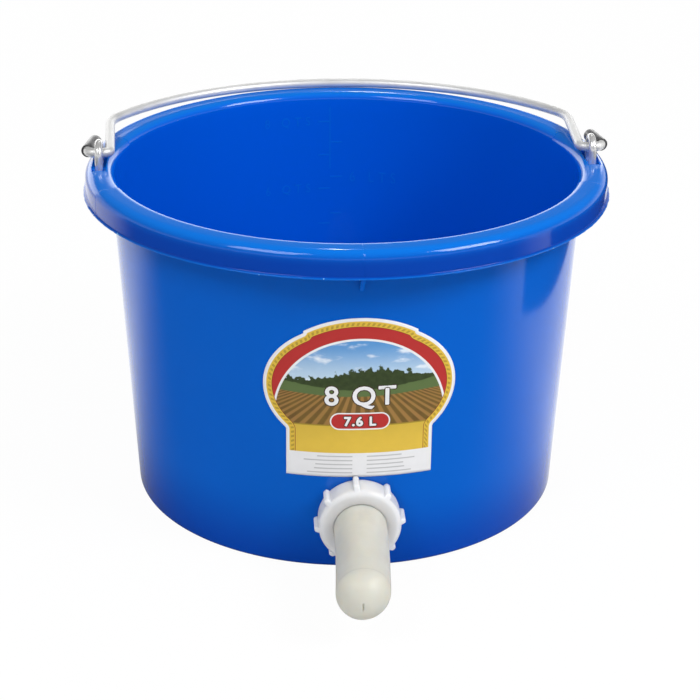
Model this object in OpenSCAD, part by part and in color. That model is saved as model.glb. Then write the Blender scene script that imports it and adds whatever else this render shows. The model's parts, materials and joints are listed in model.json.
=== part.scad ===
// Calf feeder bucket: a moulded pail with a wire bail and a screw-on rubber nipple low on the wall.
// Millimetres, +Z up. The origin is the centre of the base, on the floor. The nipple points along -Y
// and the bail turns about a line along X.

/* [Pail] */
// Diameter of the base, measured to the outside of the wall
base_d = 235.6; // [190:0.1:280]
// Height from the floor to the top of the rim
pail_h = 186.7; // [160:0.1:240]
// Lean of the wall from vertical, in degrees
wall_draft = 3.2; // [1:0.1:5]
// Thickness of the wall and of the rim
wall_t = 2.4; // [1.8:0.1:3.2]
// Thickness of the floor
floor_t = 3; // [2:0.1:5]
// Rounding of the outer corner of the base
base_round = 3; // [1:0.1:5]
// Rounding of the inner corner between floor and wall
floor_round = 4.6; // [2:0.1:10]
// Width of the ring that the pail stands on
foot_w = 8; // [5:0.1:14]
// Height of the hollow under the floor, inside that ring
foot_h = 1.2; // [0.6:0.1:2]

/* [Rim] */
// Width of the rim, from the inside of the wall to the edge of the lip
rim_w = 16.7; // [15:0.1:22]
// Height of the rim, from its top down to the lower edge of the lip
rim_drop = 14.3; // [11:0.1:20]
// Rounding of the rim above the inside of the wall
crown_in_round = 4.5; // [3.4:0.1:5.5]
// Rounding of the rim above its outer skirt
crown_out_round = 5; // [3.4:0.1:6]
// How far the lip stands out from the skirt
lip_out = 1.2; // [0.6:0.1:2]
// Height of the outer edge of the lip
lip_edge = 1.8; // [1:0.1:3]
// Small bevel on edges that a hand touches
edge_break = 0.5; // [0.2:0.1:0.8]
// Length of the rim that is solid around each eye
ear_pad_l = 56; // [36:1:90]
// Width of the stiffening rib under the front of the lip
rib_w = 2.4; // [1.6:0.1:4]
// How far the rib reaches down the wall below the lip
rib_reach = 12.9; // [6:0.1:20]

/* [Eyes] */
// Diameter of the steel wire of the eyes
eye_wire_d = 4.2; // [3:0.1:5]
// Height of an eye above the top of the rim
eye_rise = 12.5; // [10:0.1:18]
// Room beside the bail's pin inside an eye
eye_side_gap = 1.55; // [0.8:0.05:3]
// Depth of the pocket in the rim that an eye stands in
pocket_depth = 2.7; // [1:0.1:4]
// Room around the eye's wire in its pocket
pocket_gap = 1.2; // [0.8:0.1:2.4]
// Length of that pocket along the rim
pocket_l = 29; // [25:0.5:34]
// Depth of an eye's legs below the floor of the pocket
eye_root = 9; // [6:0.1:10]

/* [Bail] */
// Diameter of the bail's wire
bail_wire_d = 5.2; // [4:0.1:6]
// How far the bail's highest point lies inside the skirt when the bail lies on the rim
bail_inset = 3.3; // [2:0.1:6]
// How far the centre of the bail's arch lies below the line of the pins
arch_sink = 12; // [6:0.5:24]
// Outward lean of the bail's legs, in degrees
leg_lean = 2.5; // [0:0.1:5]
// Bend radius at the knees between the legs and the arch
knee_r = 13; // [8:0.5:24]
// Bend radius on both sides of a pin
pin_bend_r = 4.4; // [3.6:0.1:6]
// Gap between a leg and its eye
leg_gap = 1.2; // [0.6:0.1:3]
// Gap between the hooked end and its eye
hook_gap = 1.4; // [1.2:0.1:3]
// Inward lean of the hooked end, in degrees
hook_lean = 10; // [0:0.5:12]
// Straight length of the hooked end
hook_l = 16; // [10:0.5:24]
// Outside diameter of the sleeve on the hooked end
sleeve_d = 6.8; // [6:0.1:8]
// Length that the sleeve covers past the wire's end
sleeve_over = 1; // [0.4:0.1:3]

/* [Outlet] */
// Room between the rounding of the floor and the outlet's flange
outlet_rise = 0.2; // [0:0.1:30]
// Outside diameter of the spigot that passes through the wall
spigot_d = 35.6; // [30:0.1:38]
// Bore of the spigot
spigot_bore = 29.6; // [26:0.1:31]
// Length of the spigot in front of the wall
spigot_front = 7; // [6:0.1:12]
// Diameter of the flange inside the pail
flange_d = 47; // [42:0.1:54]
// Thickness of the flange
flange_t = 2.8; // [2:0.1:4]
// Thickness of the gasket where it is thinnest, at its sides
gasket_t = 1.6; // [1:0.1:3]
// Width of the gasket's ring
gasket_w = 5.45; // [3:0.05:8]
// Inside diameter of the valve seat
seat_d = 14; // [10:0.5:16]

/* [Check valve] */
// Diameter of the valve disc
disc_d = 20; // [17:0.5:21]
// Thickness of the valve disc
disc_t = 2; // [1.5:0.1:3]
// Travel of the valve disc
disc_travel = 4; // [2:0.1:5]
// Thickness of the cage's plate
cage_t = 2; // [1.5:0.1:3]
// Width of each finger of the cage
finger_w = 3; // [2:0.1:4]
// Number of fingers of the cage
finger_n = 4; // [3:1:6]
// Diameter of the hole in the middle of the cage's plate
cage_hole_d = 9; // [6:0.5:11]
// Diameter of each flow hole around it
flow_hole_d = 5.4; // [3:0.1:6]

/* [Nut] */
// Diameter of the nut without its lugs
nut_d = 42.8; // [40:0.1:50]
// Length of the nut
nut_l = 13; // [12:0.1:20]
// Thickness of the nut's front, which holds the nipple
nut_lip = 2.6; // [2:0.1:4]
// Rounding of the nut's front edge
nut_round = 2.8; // [1:0.1:3.4]
// Number of lugs
lug_n = 8; // [4:1:12]
// How far a lug stands out
lug_h = 2.2; // [1.8:0.1:4]
// Width of a lug
lug_w = 3.2; // [2:0.1:4]
// How far behind the nut's front the lugs end
lug_end = 1.2; // [0.8:0.1:4]
// Turn of the lugs about the outlet's axis, in degrees
lug_turn = 5; // [0:1:44]

/* [Nipple] */
// Diameter of the nipple
nipple_d = 27.3; // [24:0.1:29]
// Length of the nipple in front of the nut
nipple_l = 72.2; // [50:0.1:100]
// Thickness of the rubber
nipple_t = 2.3; // [2:0.1:4]
// Diameter of the flange that the nut holds
nipple_flange_d = 34.6; // [33:0.1:36]
// Length of the slit in the tip
slit_l = 4; // [2:0.1:8]
// Width of the slit in the tip
slit_w = 0.6; // [0.4:0.1:1]

/* [Label] */
// Width of the label along the wall
label_w = 100.6; // [70:0.1:120]
// Width of the label's lower panel along the wall
panel_w = 76; // [50:0.1:90]
// Height of the lower panel that shows below the oval
panel_show = 14.3; // [6:0.1:30]
// Distance from the lip down to the top of the label
label_drop = 26.5; // [16:0.1:40]
// Distance from the nut up to the bottom of the label
label_foot = 1.3; // [0.6:0.1:6]
// Width of the tab at the top of the label
tab_w = 58; // [30:0.5:80]
// Rise of the tab above the oval
tab_rise = 2.5; // [1:0.1:5]
// How far the tab's ends drop below its middle
tab_drop = 8; // [4:0.5:12]
// Thickness of the label
label_t = 0.2; // [0.1:0.05:0.3]

/* [Clearances] */
// Gap between moving pieces at rest
rest_gap = 0.3; // [0.2:0.05:0.5]
// Gap between the pin and the top of its eye
pin_gap = 0.5; // [0.3:0.05:1]
// Gap at a tight fit between two pieces that don't move
fit_gap = 0.05; // [0.02:0.01:0.1]
// Gap around the spigot in the wall and in the nut
thread_gap = 0.25; // [0.15:0.05:0.4]

/* [Hidden] */
$fn = 96;

// Facets of the pail's own rounds
pail_fn = 180;
// Steps along a quarter turn of a rounded edge, and of the nipple's dome
arc_n = 6;
dome_n = 12;
// Degrees between the points of the label's oval
oval_step = 6;
// Length by which a cutting shape runs past what it cuts
cut_over = 1;
// Length by which a straight stretch of wire laps into a bend
wire_lap = 0.05;
// How much thinner a straight stretch is, so that its end stays inside the bend
wire_ease = 0.02;

// Pail outline, as radius and height
function outer_r(z) = base_d / 2 + z * tan(wall_draft);
function inner_r(z) = outer_r(z) - wall_t / cos(wall_draft);
rim_in_r = inner_r(pail_h);
lip_r = rim_in_r + rim_w;
lip_z = pail_h - rim_drop;
skirt_r = lip_r - lip_out;
crown_in_z = pail_h - crown_in_round;
crown_in_c = [inner_r(crown_in_z) + crown_in_round / cos(wall_draft), crown_in_z];
crown_out_c = [skirt_r - crown_out_round, pail_h - crown_out_round];
base_c = [outer_r(base_round) - base_round / cos(wall_draft), base_round];
foot_in_r = base_c[0] - foot_w;
floor_top = foot_h + floor_t;
floor_c_z = floor_top + floor_round;
floor_c = [inner_r(floor_c_z) - floor_round / cos(wall_draft), floor_c_z];

// Eyes and bail
eye_x = (rim_in_r + skirt_r) / 2;
eye_half = bail_wire_d / 2 + eye_side_gap + eye_wire_d / 2;
eye_top = pail_h + eye_rise;
eye_arch_z = eye_top - eye_wire_d / 2 - eye_half;
pocket_z = pail_h - pocket_depth;
pocket_w = eye_wire_d + 2 * pocket_gap;
pivot_z = eye_top - eye_wire_d - pin_gap - bail_wire_d / 2;
bail_reach = skirt_r - bail_inset;
bail_drop = pivot_z - (pail_h + rest_gap + bail_wire_d / 2);
bail_rest = asin(bail_drop / bail_reach);
arch_r = bail_reach + arch_sink;
leg_x = eye_x - eye_wire_d / 2 - leg_gap - bail_wire_d / 2;
// The knee's circle touches the leg's line and, from inside, the arch's circle
leg_up = [sin(leg_lean), cos(leg_lean)];
leg_in = [-cos(leg_lean), sin(leg_lean)];
knee_from = [leg_x, 0] + knee_r * leg_in + [0, arch_sink];
knee_along = knee_from * leg_up;
knee_t = -knee_along + sqrt(pow(arch_r - knee_r, 2) - knee_from * knee_from + pow(knee_along, 2));
knee_c = knee_from + knee_t * leg_up;
arch_turn = atan2(knee_c[0], knee_c[1]);
leg_foot = pin_bend_r * (1 + sin(leg_lean)) / cos(leg_lean);
pin_from = leg_x + leg_foot * sin(leg_lean) + pin_bend_r * cos(leg_lean);
hook_x = eye_x + eye_wire_d / 2 + hook_gap + bail_wire_d / 2;
pin_to = hook_x - pin_bend_r;
hook_from = [pin_to, pin_bend_r] + pin_bend_r * [cos(hook_lean), sin(hook_lean)];
sleeve_l = hook_l + sleeve_over;

// Outlet: its height where its axis meets the outside of the wall, then distances along its axis from there
gasket_in_r = spigot_d / 2 + thread_gap;
gasket_out_r = gasket_in_r + gasket_w;
seal_r = max(flange_d / 2, gasket_out_r);
outlet_z = floor_c_z + seal_r + outlet_rise;
nut_back = label_t + rest_gap;
nut_front = nut_back + nut_l;
wall_sag = inner_r(outlet_z) - sqrt(pow(inner_r(outlet_z), 2) - pow(seal_r, 2));
flange_front = -(wall_t + wall_sag + gasket_t);
flange_back = flange_front - flange_t;
seat_face = flange_front;
disc_back = seat_face + rest_gap + disc_travel;
disc_front = disc_back + disc_t;
cage_back = disc_front + rest_gap;
finger_in = disc_d / 2 + rest_gap;
finger_out = (spigot_bore / 2 + finger_in) / 2;
nipple_seat = spigot_front + fit_gap;
nipple_grip = nut_front - nut_lip - fit_gap;
nipple_tip = nut_front + nipple_l;
dome_z = nipple_tip - nipple_d / 2;

// Label
label_top = lip_z - label_drop;
label_bottom = outlet_z + nut_d / 2 + label_foot;
oval_top = label_top - tab_rise;
oval_half_h = (oval_top - label_bottom - panel_show) / 2;
oval_z = oval_top - oval_half_h;
label_bend_r = outer_r(oval_z);
tab_r = (pow(tab_w / 2, 2) + pow(tab_drop, 2)) / (2 * tab_drop);
tab_turn = asin(tab_w / 2 / tab_r);

// Points on an arc about c, from angle a0 to angle a1
function arc(c, r, a0, a1, n = arc_n) =
    [for (i = [0 : n]) c + r * [cos(a0 + (a1 - a0) * i / n), sin(a0 + (a1 - a0) * i / n)]];

// Where a point of the flat label lies across the wall, seen from the front
function bent(p) = [label_bend_r * sin(p[0] / label_bend_r * 180 / PI), p[1]];

module at_outlet()
    translate([0, -outer_r(outlet_z), outlet_z]) rotate([90 + wall_draft, 0, 0]) children();

module at_bail() translate([0, 0, pivot_z]) rotate([-bail_rest, 0, 0]) children();

// Straight wire along +X, then what follows it. It is a hair thinner than the bends and laps into them.
module wire_run(d, l) {
    translate([-wire_lap, 0, 0]) rotate([0, 90, 0]) cylinder(d = d - wire_ease, h = l + 2 * wire_lap);
    translate([l, 0, 0]) children();
}

// Wire bent to the left by turn degrees, or to the right if turn is negative, then what follows it
module wire_bend(d, r, turn) {
    side = sign(turn);
    sweep = abs(turn);
    translate([0, side * r, 0])
        rotate([0, 0, turn > 0 ? -90 : 90 - sweep])
            rotate_extrude(angle = sweep) translate([r, 0]) circle(d = d);
    translate([r * sin(sweep), side * r * (1 - cos(sweep)), 0]) rotate([0, 0, turn]) children();
}

module pail_shell()
    rotate_extrude($fn = pail_fn) polygon(concat(
        [[0, foot_h], [foot_in_r - foot_h, foot_h], [foot_in_r, 0]],
        arc(base_c, base_round, -90, -wall_draft),
        arc(crown_in_c, crown_in_round - wall_t, 180 - wall_draft, 90),
        arc(crown_out_c, crown_out_round - wall_t, 90, 0),
        [[skirt_r - wall_t, lip_z],
         [lip_r - edge_break, lip_z],
         [lip_r, lip_z + edge_break],
         [lip_r, lip_z + lip_edge],
         [skirt_r, lip_z + lip_edge + lip_out]],
        arc(crown_out_c, crown_out_round, 0, 90),
        arc(crown_in_c, crown_in_round, 90, 180 - wall_draft),
        arc(floor_c, floor_round, -wall_draft, -90),
        [[0, floor_top]]));

// Solid stretch of the rim that holds an eye, sunk half a wall into the rim around it
module ear_pad() {
    half_turn = ear_pad_l / 2 / eye_x * 180 / PI;
    pad_z = lip_z + edge_break;
    rotate([0, 0, -half_turn]) rotate_extrude(angle = 2 * half_turn, $fn = pail_fn) polygon(concat(
        [[outer_r(pad_z) - wall_t / 2, pad_z], [skirt_r - wall_t / 2, pad_z]],
        arc(crown_out_c, crown_out_round - wall_t / 2, 0, 90),
        arc(crown_in_c, crown_in_round - wall_t / 2, 90, 180 - wall_draft)));
}

module ear_pocket() translate([eye_x, 0, pocket_z]) {
    for (side = [-1, 1]) translate([0, side * eye_half, -eye_root])
        cylinder(d = eye_wire_d + 2 * fit_gap, h = eye_root + cut_over);
    translate([-pocket_w / 2, -pocket_l / 2, 0]) cube([pocket_w, pocket_l, pocket_depth + cut_over]);
}

module front_rib() {
    foot_z = lip_z - rib_reach;
    rotate([0, 0, -90]) rotate([90, 0, 0]) linear_extrude(rib_w, center = true) polygon([
        [outer_r(foot_z) - wall_t / 2, foot_z],
        [skirt_r - wall_t / 2, lip_z + lip_edge],
        [crown_out_c[0], pail_h - wall_t / 2],
        [crown_in_c[0], pail_h - wall_t / 2],
        [outer_r(crown_in_z) - wall_t / 2, crown_in_z]]);
}

module pail_body() color("#0a52b8") difference() {
    union() {
        pail_shell();
        for (side = [0, 180]) rotate([0, 0, side]) ear_pad();
        front_rib();
    }
    for (side = [0, 180]) rotate([0, 0, side]) ear_pocket();
    at_outlet() translate([0, 0, -wall_t - cut_over - thread_gap])
        cylinder(d = spigot_d + 2 * thread_gap, h = wall_t + 2 * cut_over + 2 * thread_gap);
}

// Steel staple: two legs in the rim and an arch that the bail's pin goes through
module eye(side) color("#c9c9c6") translate([side * eye_x, 0, 0]) {
    leg_z = pocket_z - eye_root;
    for (y = [-eye_half, eye_half])
        translate([0, y, leg_z]) cylinder(d = eye_wire_d, h = eye_arch_z - leg_z);
    translate([0, 0, eye_arch_z]) rotate([90, 0, 90])
        rotate_extrude(angle = 180) translate([eye_half, 0]) circle(d = eye_wire_d);
}

module left_eye() eye(-1);

module right_eye() eye(1);

// One side of the bail, from the end of the arch to the hooked end
module bail_side()
    translate([arch_r * sin(arch_turn), arch_r * cos(arch_turn) - arch_sink, 0]) rotate([0, 0, -arch_turn])
        wire_bend(bail_wire_d, knee_r, arch_turn - 90 - leg_lean)
        wire_run(bail_wire_d, knee_t - leg_foot)
        wire_bend(bail_wire_d, pin_bend_r, 90 + leg_lean)
        wire_run(bail_wire_d, pin_to - pin_from)
        wire_bend(bail_wire_d, pin_bend_r, 90 + hook_lean)
        wire_run(bail_wire_d, hook_l);

module bail() color("#c4c4c0") at_bail() {
    arch_half = arch_turn + wire_lap / arch_r * 180 / PI;
    translate([0, -arch_sink, 0]) rotate([0, 0, 90 - arch_half])
        rotate_extrude(angle = 2 * arch_half) translate([arch_r, 0]) circle(d = bail_wire_d - wire_ease);
    bail_side();
    mirror([1, 0, 0]) bail_side();
}

// Tube pushed over the hooked end of the bail
module sleeve() color("#26262a") translate(hook_from) rotate([0, 0, 90 + hook_lean]) rotate([0, 90, 0])
    difference() {
        cylinder(d = sleeve_d, h = sleeve_l);
        translate([0, 0, -cut_over])
            cylinder(d = bail_wire_d + 2 * fit_gap, h = sleeve_l + 2 * cut_over);
    }

module left_sleeve() at_bail() mirror([1, 0, 0]) sleeve();

module right_sleeve() at_bail() sleeve();

// Flanged tube through the wall, closed at the flange by the seat of the check valve
module spigot() color("#e4e4e0") at_outlet() rotate_extrude() polygon([
    [seat_d / 2, flange_back],
    [flange_d / 2 - edge_break, flange_back],
    [flange_d / 2, flange_back + edge_break],
    [flange_d / 2, flange_front],
    [spigot_d / 2, flange_front],
    [spigot_d / 2, spigot_front - edge_break],
    [spigot_d / 2 - edge_break, spigot_front],
    [spigot_bore / 2, spigot_front],
    [spigot_bore / 2, seat_face],
    [seat_d / 2, seat_face]]);

// Rubber ring squeezed between the flange and the round inside of the wall
module gasket() color("#2b2b2d") intersection() {
    at_outlet() translate([0, 0, flange_front + fit_gap]) difference() {
        cylinder(r = gasket_out_r, h = -flange_front);
        translate([0, 0, -cut_over]) cylinder(r = gasket_in_r, h = 2 * cut_over - flange_front);
    }
    gasket_top = outlet_z + 2 * seal_r;
    cylinder(h = gasket_top, r1 = inner_r(0) - fit_gap, r2 = inner_r(gasket_top) - fit_gap, $fn = pail_fn);
}

module valve_disc() color("#d8d2c2") at_outlet() rotate_extrude() polygon([
    [0, disc_back],
    [disc_d / 2 - edge_break, disc_back],
    [disc_d / 2, disc_back + edge_break],
    [disc_d / 2, disc_front - edge_break],
    [disc_d / 2 - edge_break, disc_front],
    [0, disc_front]]);

// Pierced plate with fingers around the valve disc, pressed into the spigot
module valve_cage() color("#f0efe9") at_outlet() {
    difference() {
        translate([0, 0, cage_back]) cylinder(d = spigot_bore - 2 * fit_gap, h = cage_t);
        translate([0, 0, cage_back - cut_over]) cylinder(d = cage_hole_d, h = cage_t + 2 * cut_over);
        for (i = [0 : finger_n - 1]) rotate([0, 0, (i + 0.5) * 360 / finger_n])
            translate([(cage_hole_d / 2 + spigot_bore / 2) / 2, 0, cage_back - cut_over])
                cylinder(d = flow_hole_d, h = cage_t + 2 * cut_over);
    }
    for (i = [0 : finger_n - 1]) rotate([0, 0, i * 360 / finger_n])
        translate([finger_in, -finger_w / 2, seat_face + fit_gap])
            cube([finger_out - finger_in, finger_w, cage_back + cage_t / 2 - seat_face - fit_gap]);
}

// Grip lug along the nut, with a round tip
module lug() linear_extrude(nut_l - lug_end - edge_break) {
    tip = nut_d / 2 + lug_h - lug_w / 2;
    translate([nut_d / 2 - cut_over, -lug_w / 2]) square([tip - nut_d / 2 + cut_over, lug_w]);
    translate([tip, 0]) circle(d = lug_w);
}

module nipple_nut() color("#dfe0e2") at_outlet() {
    bore_r = spigot_d / 2 + thread_gap;
    rotate_extrude() polygon(concat(
        [[bore_r, nut_back], [nut_d / 2, nut_back]],
        arc([nut_d / 2 - nut_round, nut_front - nut_round], nut_round, 0, 90),
        [[nipple_d / 2 + thread_gap, nut_front],
         [nipple_d / 2 + thread_gap, nut_front - nut_lip],
         [bore_r, nut_front - nut_lip]]));
    for (i = [0 : lug_n - 1]) rotate([0, 0, lug_turn + i * 360 / lug_n])
        translate([0, 0, nut_back + edge_break]) lug();
}

// Hollow rubber teat whose flange is held between the spigot and the nut
module nipple() color("#d9d3c6") at_outlet() difference() {
    rotate_extrude() polygon(concat(
        [[nipple_d / 2 - nipple_t, nipple_seat],
         [nipple_flange_d / 2, nipple_seat],
         [nipple_flange_d / 2, nipple_grip],
         [nipple_d / 2, nipple_grip]],
        arc([0, dome_z], nipple_d / 2, 0, 90, dome_n),
        arc([0, dome_z], nipple_d / 2 - nipple_t, 90, 0, dome_n)));
    translate([-slit_w / 2, -slit_l / 2, nipple_tip - 2 * nipple_t])
        cube([slit_w, slit_l, 2 * nipple_t + cut_over]);
}

// The outside of the wall between two heights, moved outwards by gap
module wall_cone(from, to, gap) translate([0, 0, from])
    cylinder(h = to - from, r1 = outer_r(from) + gap, r2 = outer_r(to) + gap, $fn = pail_fn);

// Outline of the label as it lies on the wall: an oval with a tab above it and a panel below it
module label_outline() {
    polygon([for (t = [0 : oval_step : 360 - oval_step])
        bent([label_w / 2 * cos(t), oval_z + oval_half_h * sin(t)])]);
    polygon([for (p = concat(
        arc([0, label_top - tab_r], tab_r, 90 - tab_turn, 90 + tab_turn),
        [[-tab_w / 2, oval_z], [tab_w / 2, oval_z]])) bent(p)]);
    polygon([for (p = [
        [-panel_w / 2, label_bottom], [panel_w / 2, label_bottom],
        [panel_w / 2, oval_z], [-panel_w / 2, oval_z]]) bent(p)]);
}

module label() color("#e9e2cf") intersection() {
    difference() {
        wall_cone(0, lip_z, fit_gap + label_t);
        wall_cone(-cut_over, lip_z + cut_over, fit_gap);
    }
    rotate([90, 0, 0]) linear_extrude(lip_r) label_outline();
}

pail_body();
left_eye();
right_eye();
bail();
left_sleeve();
right_sleeve();
spigot();
gasket();
valve_disc();
valve_cage();
nipple_nut();
nipple();
label();
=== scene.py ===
"""Looks of a calf feeder bucket: moulded pail, wire bail, screw-on outlet with its rubber teat, and label.

The file is laid out as an add-on and run as a script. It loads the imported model, makes every piece around it
and sets the stage. Lengths are metres and +Z is up. The teat points along -Y, and the bail turns about a line
along X.
"""
import json
import math

import bmesh
import bpy
import numpy as np
from bpy.props import FloatProperty, FloatVectorProperty, IntProperty, PointerProperty
from mathutils import Matrix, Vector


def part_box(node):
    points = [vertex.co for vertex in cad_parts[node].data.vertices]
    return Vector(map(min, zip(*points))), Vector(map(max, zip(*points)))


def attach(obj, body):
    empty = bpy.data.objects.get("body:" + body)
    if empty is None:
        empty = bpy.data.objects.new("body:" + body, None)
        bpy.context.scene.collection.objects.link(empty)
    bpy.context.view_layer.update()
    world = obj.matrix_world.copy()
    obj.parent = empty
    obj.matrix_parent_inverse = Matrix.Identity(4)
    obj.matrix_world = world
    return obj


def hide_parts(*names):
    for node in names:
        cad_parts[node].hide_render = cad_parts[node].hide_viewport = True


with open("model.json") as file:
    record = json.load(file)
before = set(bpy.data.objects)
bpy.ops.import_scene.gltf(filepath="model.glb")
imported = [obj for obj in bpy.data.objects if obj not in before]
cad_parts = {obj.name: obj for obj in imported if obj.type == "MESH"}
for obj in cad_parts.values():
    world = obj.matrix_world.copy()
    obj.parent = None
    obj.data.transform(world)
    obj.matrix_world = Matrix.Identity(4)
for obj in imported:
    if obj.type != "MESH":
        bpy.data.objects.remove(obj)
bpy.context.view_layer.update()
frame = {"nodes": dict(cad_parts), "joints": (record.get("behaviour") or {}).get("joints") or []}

bl_info = {
    "name": "Calf feeder bucket",
    "version": (1, 0, 0),
    "blender": (4, 5, 0),
    "location": "3D View > Sidebar > Calf Pail",
    "description": "Makes the pieces and finishes of a calf feeder bucket around its packed model",
    "category": "Object",
}

MM = 0.001
JOINTS = {joint["name"]: joint for joint in frame["joints"]}
PAIL_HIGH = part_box("pail_body")[1]
LABEL_LOW, LABEL_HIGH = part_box("label")
PIVOT_Z = JOINTS["bail_swing"]["pos_m"][2]
OUTLET_AXIS = JOINTS["valve_travel"]["axis"]

# Angle between two faces above which their shared edge is drawn sharp
SHARP_EDGE = math.radians(38)
# Gap between points of an outline below which one of them is dropped
LEAST_GAP = 0.001 * MM
# Decimal places to which points are rounded before doubles are merged
POINT_DIGITS = 7
# Length that one unit of the label's map stands for
LABEL_UNIT = 0.1


def length(name, description, millimetres):
    """A length property whose default is given in millimetres."""
    return FloatProperty(name=name, description=description, default=millimetres * MM, precision=5,
                         subtype="DISTANCE", unit="LENGTH")


def angle(name, description, degrees):
    """An angle property whose default is given in degrees."""
    return FloatProperty(name=name, description=description, default=math.radians(degrees),
                         subtype="ANGLE", unit="ROTATION")


def colour(name, description, value):
    """A colour property with a linear default."""
    return FloatVectorProperty(name=name, description=description, default=value, size=3, min=0, max=1,
                               subtype="COLOR")


def power(name, description, watts):
    """A lamp's power."""
    return FloatProperty(name=name, description=description, default=watts, unit="POWER")


def lengths(name, description, millimetres):
    """A place or a size of several lengths, with defaults given in millimetres."""
    default = [part * MM for part in millimetres]
    return FloatVectorProperty(name=name, description=description, default=default, size=len(default),
                               unit="LENGTH")


class PailSizes(bpy.types.PropertyGroup):
    """Sizes of the moulded pail."""
    height: length("Height", "Floor to the top of the rim", PAIL_HIGH.z / MM)
    lip_radius: length("Lip radius", "Axis to the edge of the lip", PAIL_HIGH.x / MM)
    base_radius: length("Base radius", "Axis to the outside of the wall at the floor", 117.8)
    draft: angle("Draft", "Lean of the wall from vertical", math.degrees(math.asin(-OUTLET_AXIS[2])))
    wall: length("Wall", "Thickness of the wall and of the rim", 2.4)
    floor: length("Floor", "Thickness of the floor", 3)
    foot_width: length("Foot width", "Width of the ring that the pail stands on", 8)
    foot_height: length("Foot height", "Height of the hollow under the floor", 1.2)
    base_round: length("Base rounding", "Rounding of the outer corner of the base", 3)
    floor_round: length("Floor rounding", "Rounding between floor and wall", 4.6)
    crown_in: length("Inner crown rounding", "Rounding of the rim above the inside of the wall", 4.5)
    crown_out: length("Outer crown rounding", "Rounding of the rim above its skirt", 5)
    rim_drop: length("Rim height", "Top of the rim to the lower edge of the lip", 14.3)
    lip_out: length("Lip flare", "How far the lip stands out from the skirt", 1.2)
    lip_edge: length("Lip edge", "Height of the outer edge of the lip", 0.5)
    lip_slope: length("Lip slope", "Height of the slope above the edge of the lip", 0.7)
    edge_round: length("Edge rounding", "Rounding of moulded edges", 0.5)
    pad_length: length("Pad length", "Length of the solid rim around each eye", 56)
    rib_width: length("Rib width", "Width of the rib under the front of the lip", 2.4)
    rib_reach: length("Rib reach", "How far the rib runs down below the lip", 12.9)
    crown_arch: length("Crown arch", "Rise of the rim's top between its two roundings", 0.15)
    pad_arch: length("Pad arch", "The same rise between the parting lines beside an eye", 1.0)
    seam_depth: length("Seam depth", "Depth of the parting lines in the rim", 0.12)
    seam_width: length("Seam width", "Width of the parting lines in the rim", 0.5)
    seam_turn: angle("Seam turn", "Turn from each eye to the parting lines beside it", 19)
    flash: length("Flash", "Height of the uneven flash along the lip", 0.09)


class MarkSizes(bpy.types.PropertyGroup):
    """Sizes of the capacity marks inside the back wall."""
    rise: length("Rise", "How far the marks stand out from the wall", 0.1)
    stroke: length("Stroke", "Width of the lines", 0.8)
    line_x: length("Line place", "Place of the upright line across the wall", -2.4)
    line_top: length("Line top", "Height of the top of the upright line", 178)
    line_foot: length("Line foot", "Height of the foot of the upright line", 140)
    tick: length("Tick", "Length of the short lines", 7.2)
    letter: length("Letter height", "Height of the capital letters", 6.4)
    word: length("Word width", "Width of a word with its figure", 28)
    letter_gap: length("Letter gap", "From the upright line to the middle of a word", 26)


class WireSizes(bpy.types.PropertyGroup):
    """Sizes of the bail, of the eyes that it turns in, and of the tubes on its ends."""
    eye_wire: length("Eye wire", "Diameter of the wire of the eyes", 4.2)
    eye_half: length("Eye half width", "Middle of an eye to the middle of its wire", 6.25)
    eye_rise: length("Eye rise", "Height of an eye above the rim", 12.5)
    eye_root: length("Eye root", "Depth of the legs below the top of the rim", 11.7)
    pocket_depth: length("Pocket depth", "Depth of the pocket around an eye", 4.5)
    pocket_gap: length("Pocket gap", "Room beside the wire in its pocket", 1.6)
    pocket_length: length("Pocket length", "Length of that pocket along the rim", 29)
    pocket_round: length("Pocket rounding", "Rounding of the pocket's corners", 0.8)
    bail_wire: length("Bail wire", "Diameter of the wire of the bail", 5.2)
    rest_gap: length("Rest gap", "Height of the resting bail over the top of the rim", -0.2)
    bail_inset: length("Bail inset", "How far the resting bail lies inside the skirt", 3.3)
    arch_sink: length("Arch sink", "Pin line down to the centre of the arch", 12)
    leg_gap: length("Leg gap", "Gap between a leg and its eye", 1.2)
    leg_lean: angle("Leg lean", "Outward lean of the legs", 2.5)
    knee: length("Knee", "Bend radius between leg and arch", 26)
    pin_bend: length("Pin bend", "Bend radius on both sides of a pin", 4.4)
    hook_gap: length("Hook gap", "Gap between a hooked end and its eye", 1.4)
    hook_lean: angle("Hook lean", "Inward lean of the hooked ends", 10)
    hook_length: length("Hook length", "Straight length of a hooked end", 16)
    tube: length("Tube", "Outside diameter of the tubes on the hooked ends", 7.1)
    tube_over: length("Tube overhang", "How far a tube runs past its wire", 1)
    tube_lap: length("Tube lap", "How far a tube laps onto the bend before it", 1.8)
    fit: length("Fit", "Gap at a tight fit", 0.05)


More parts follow.
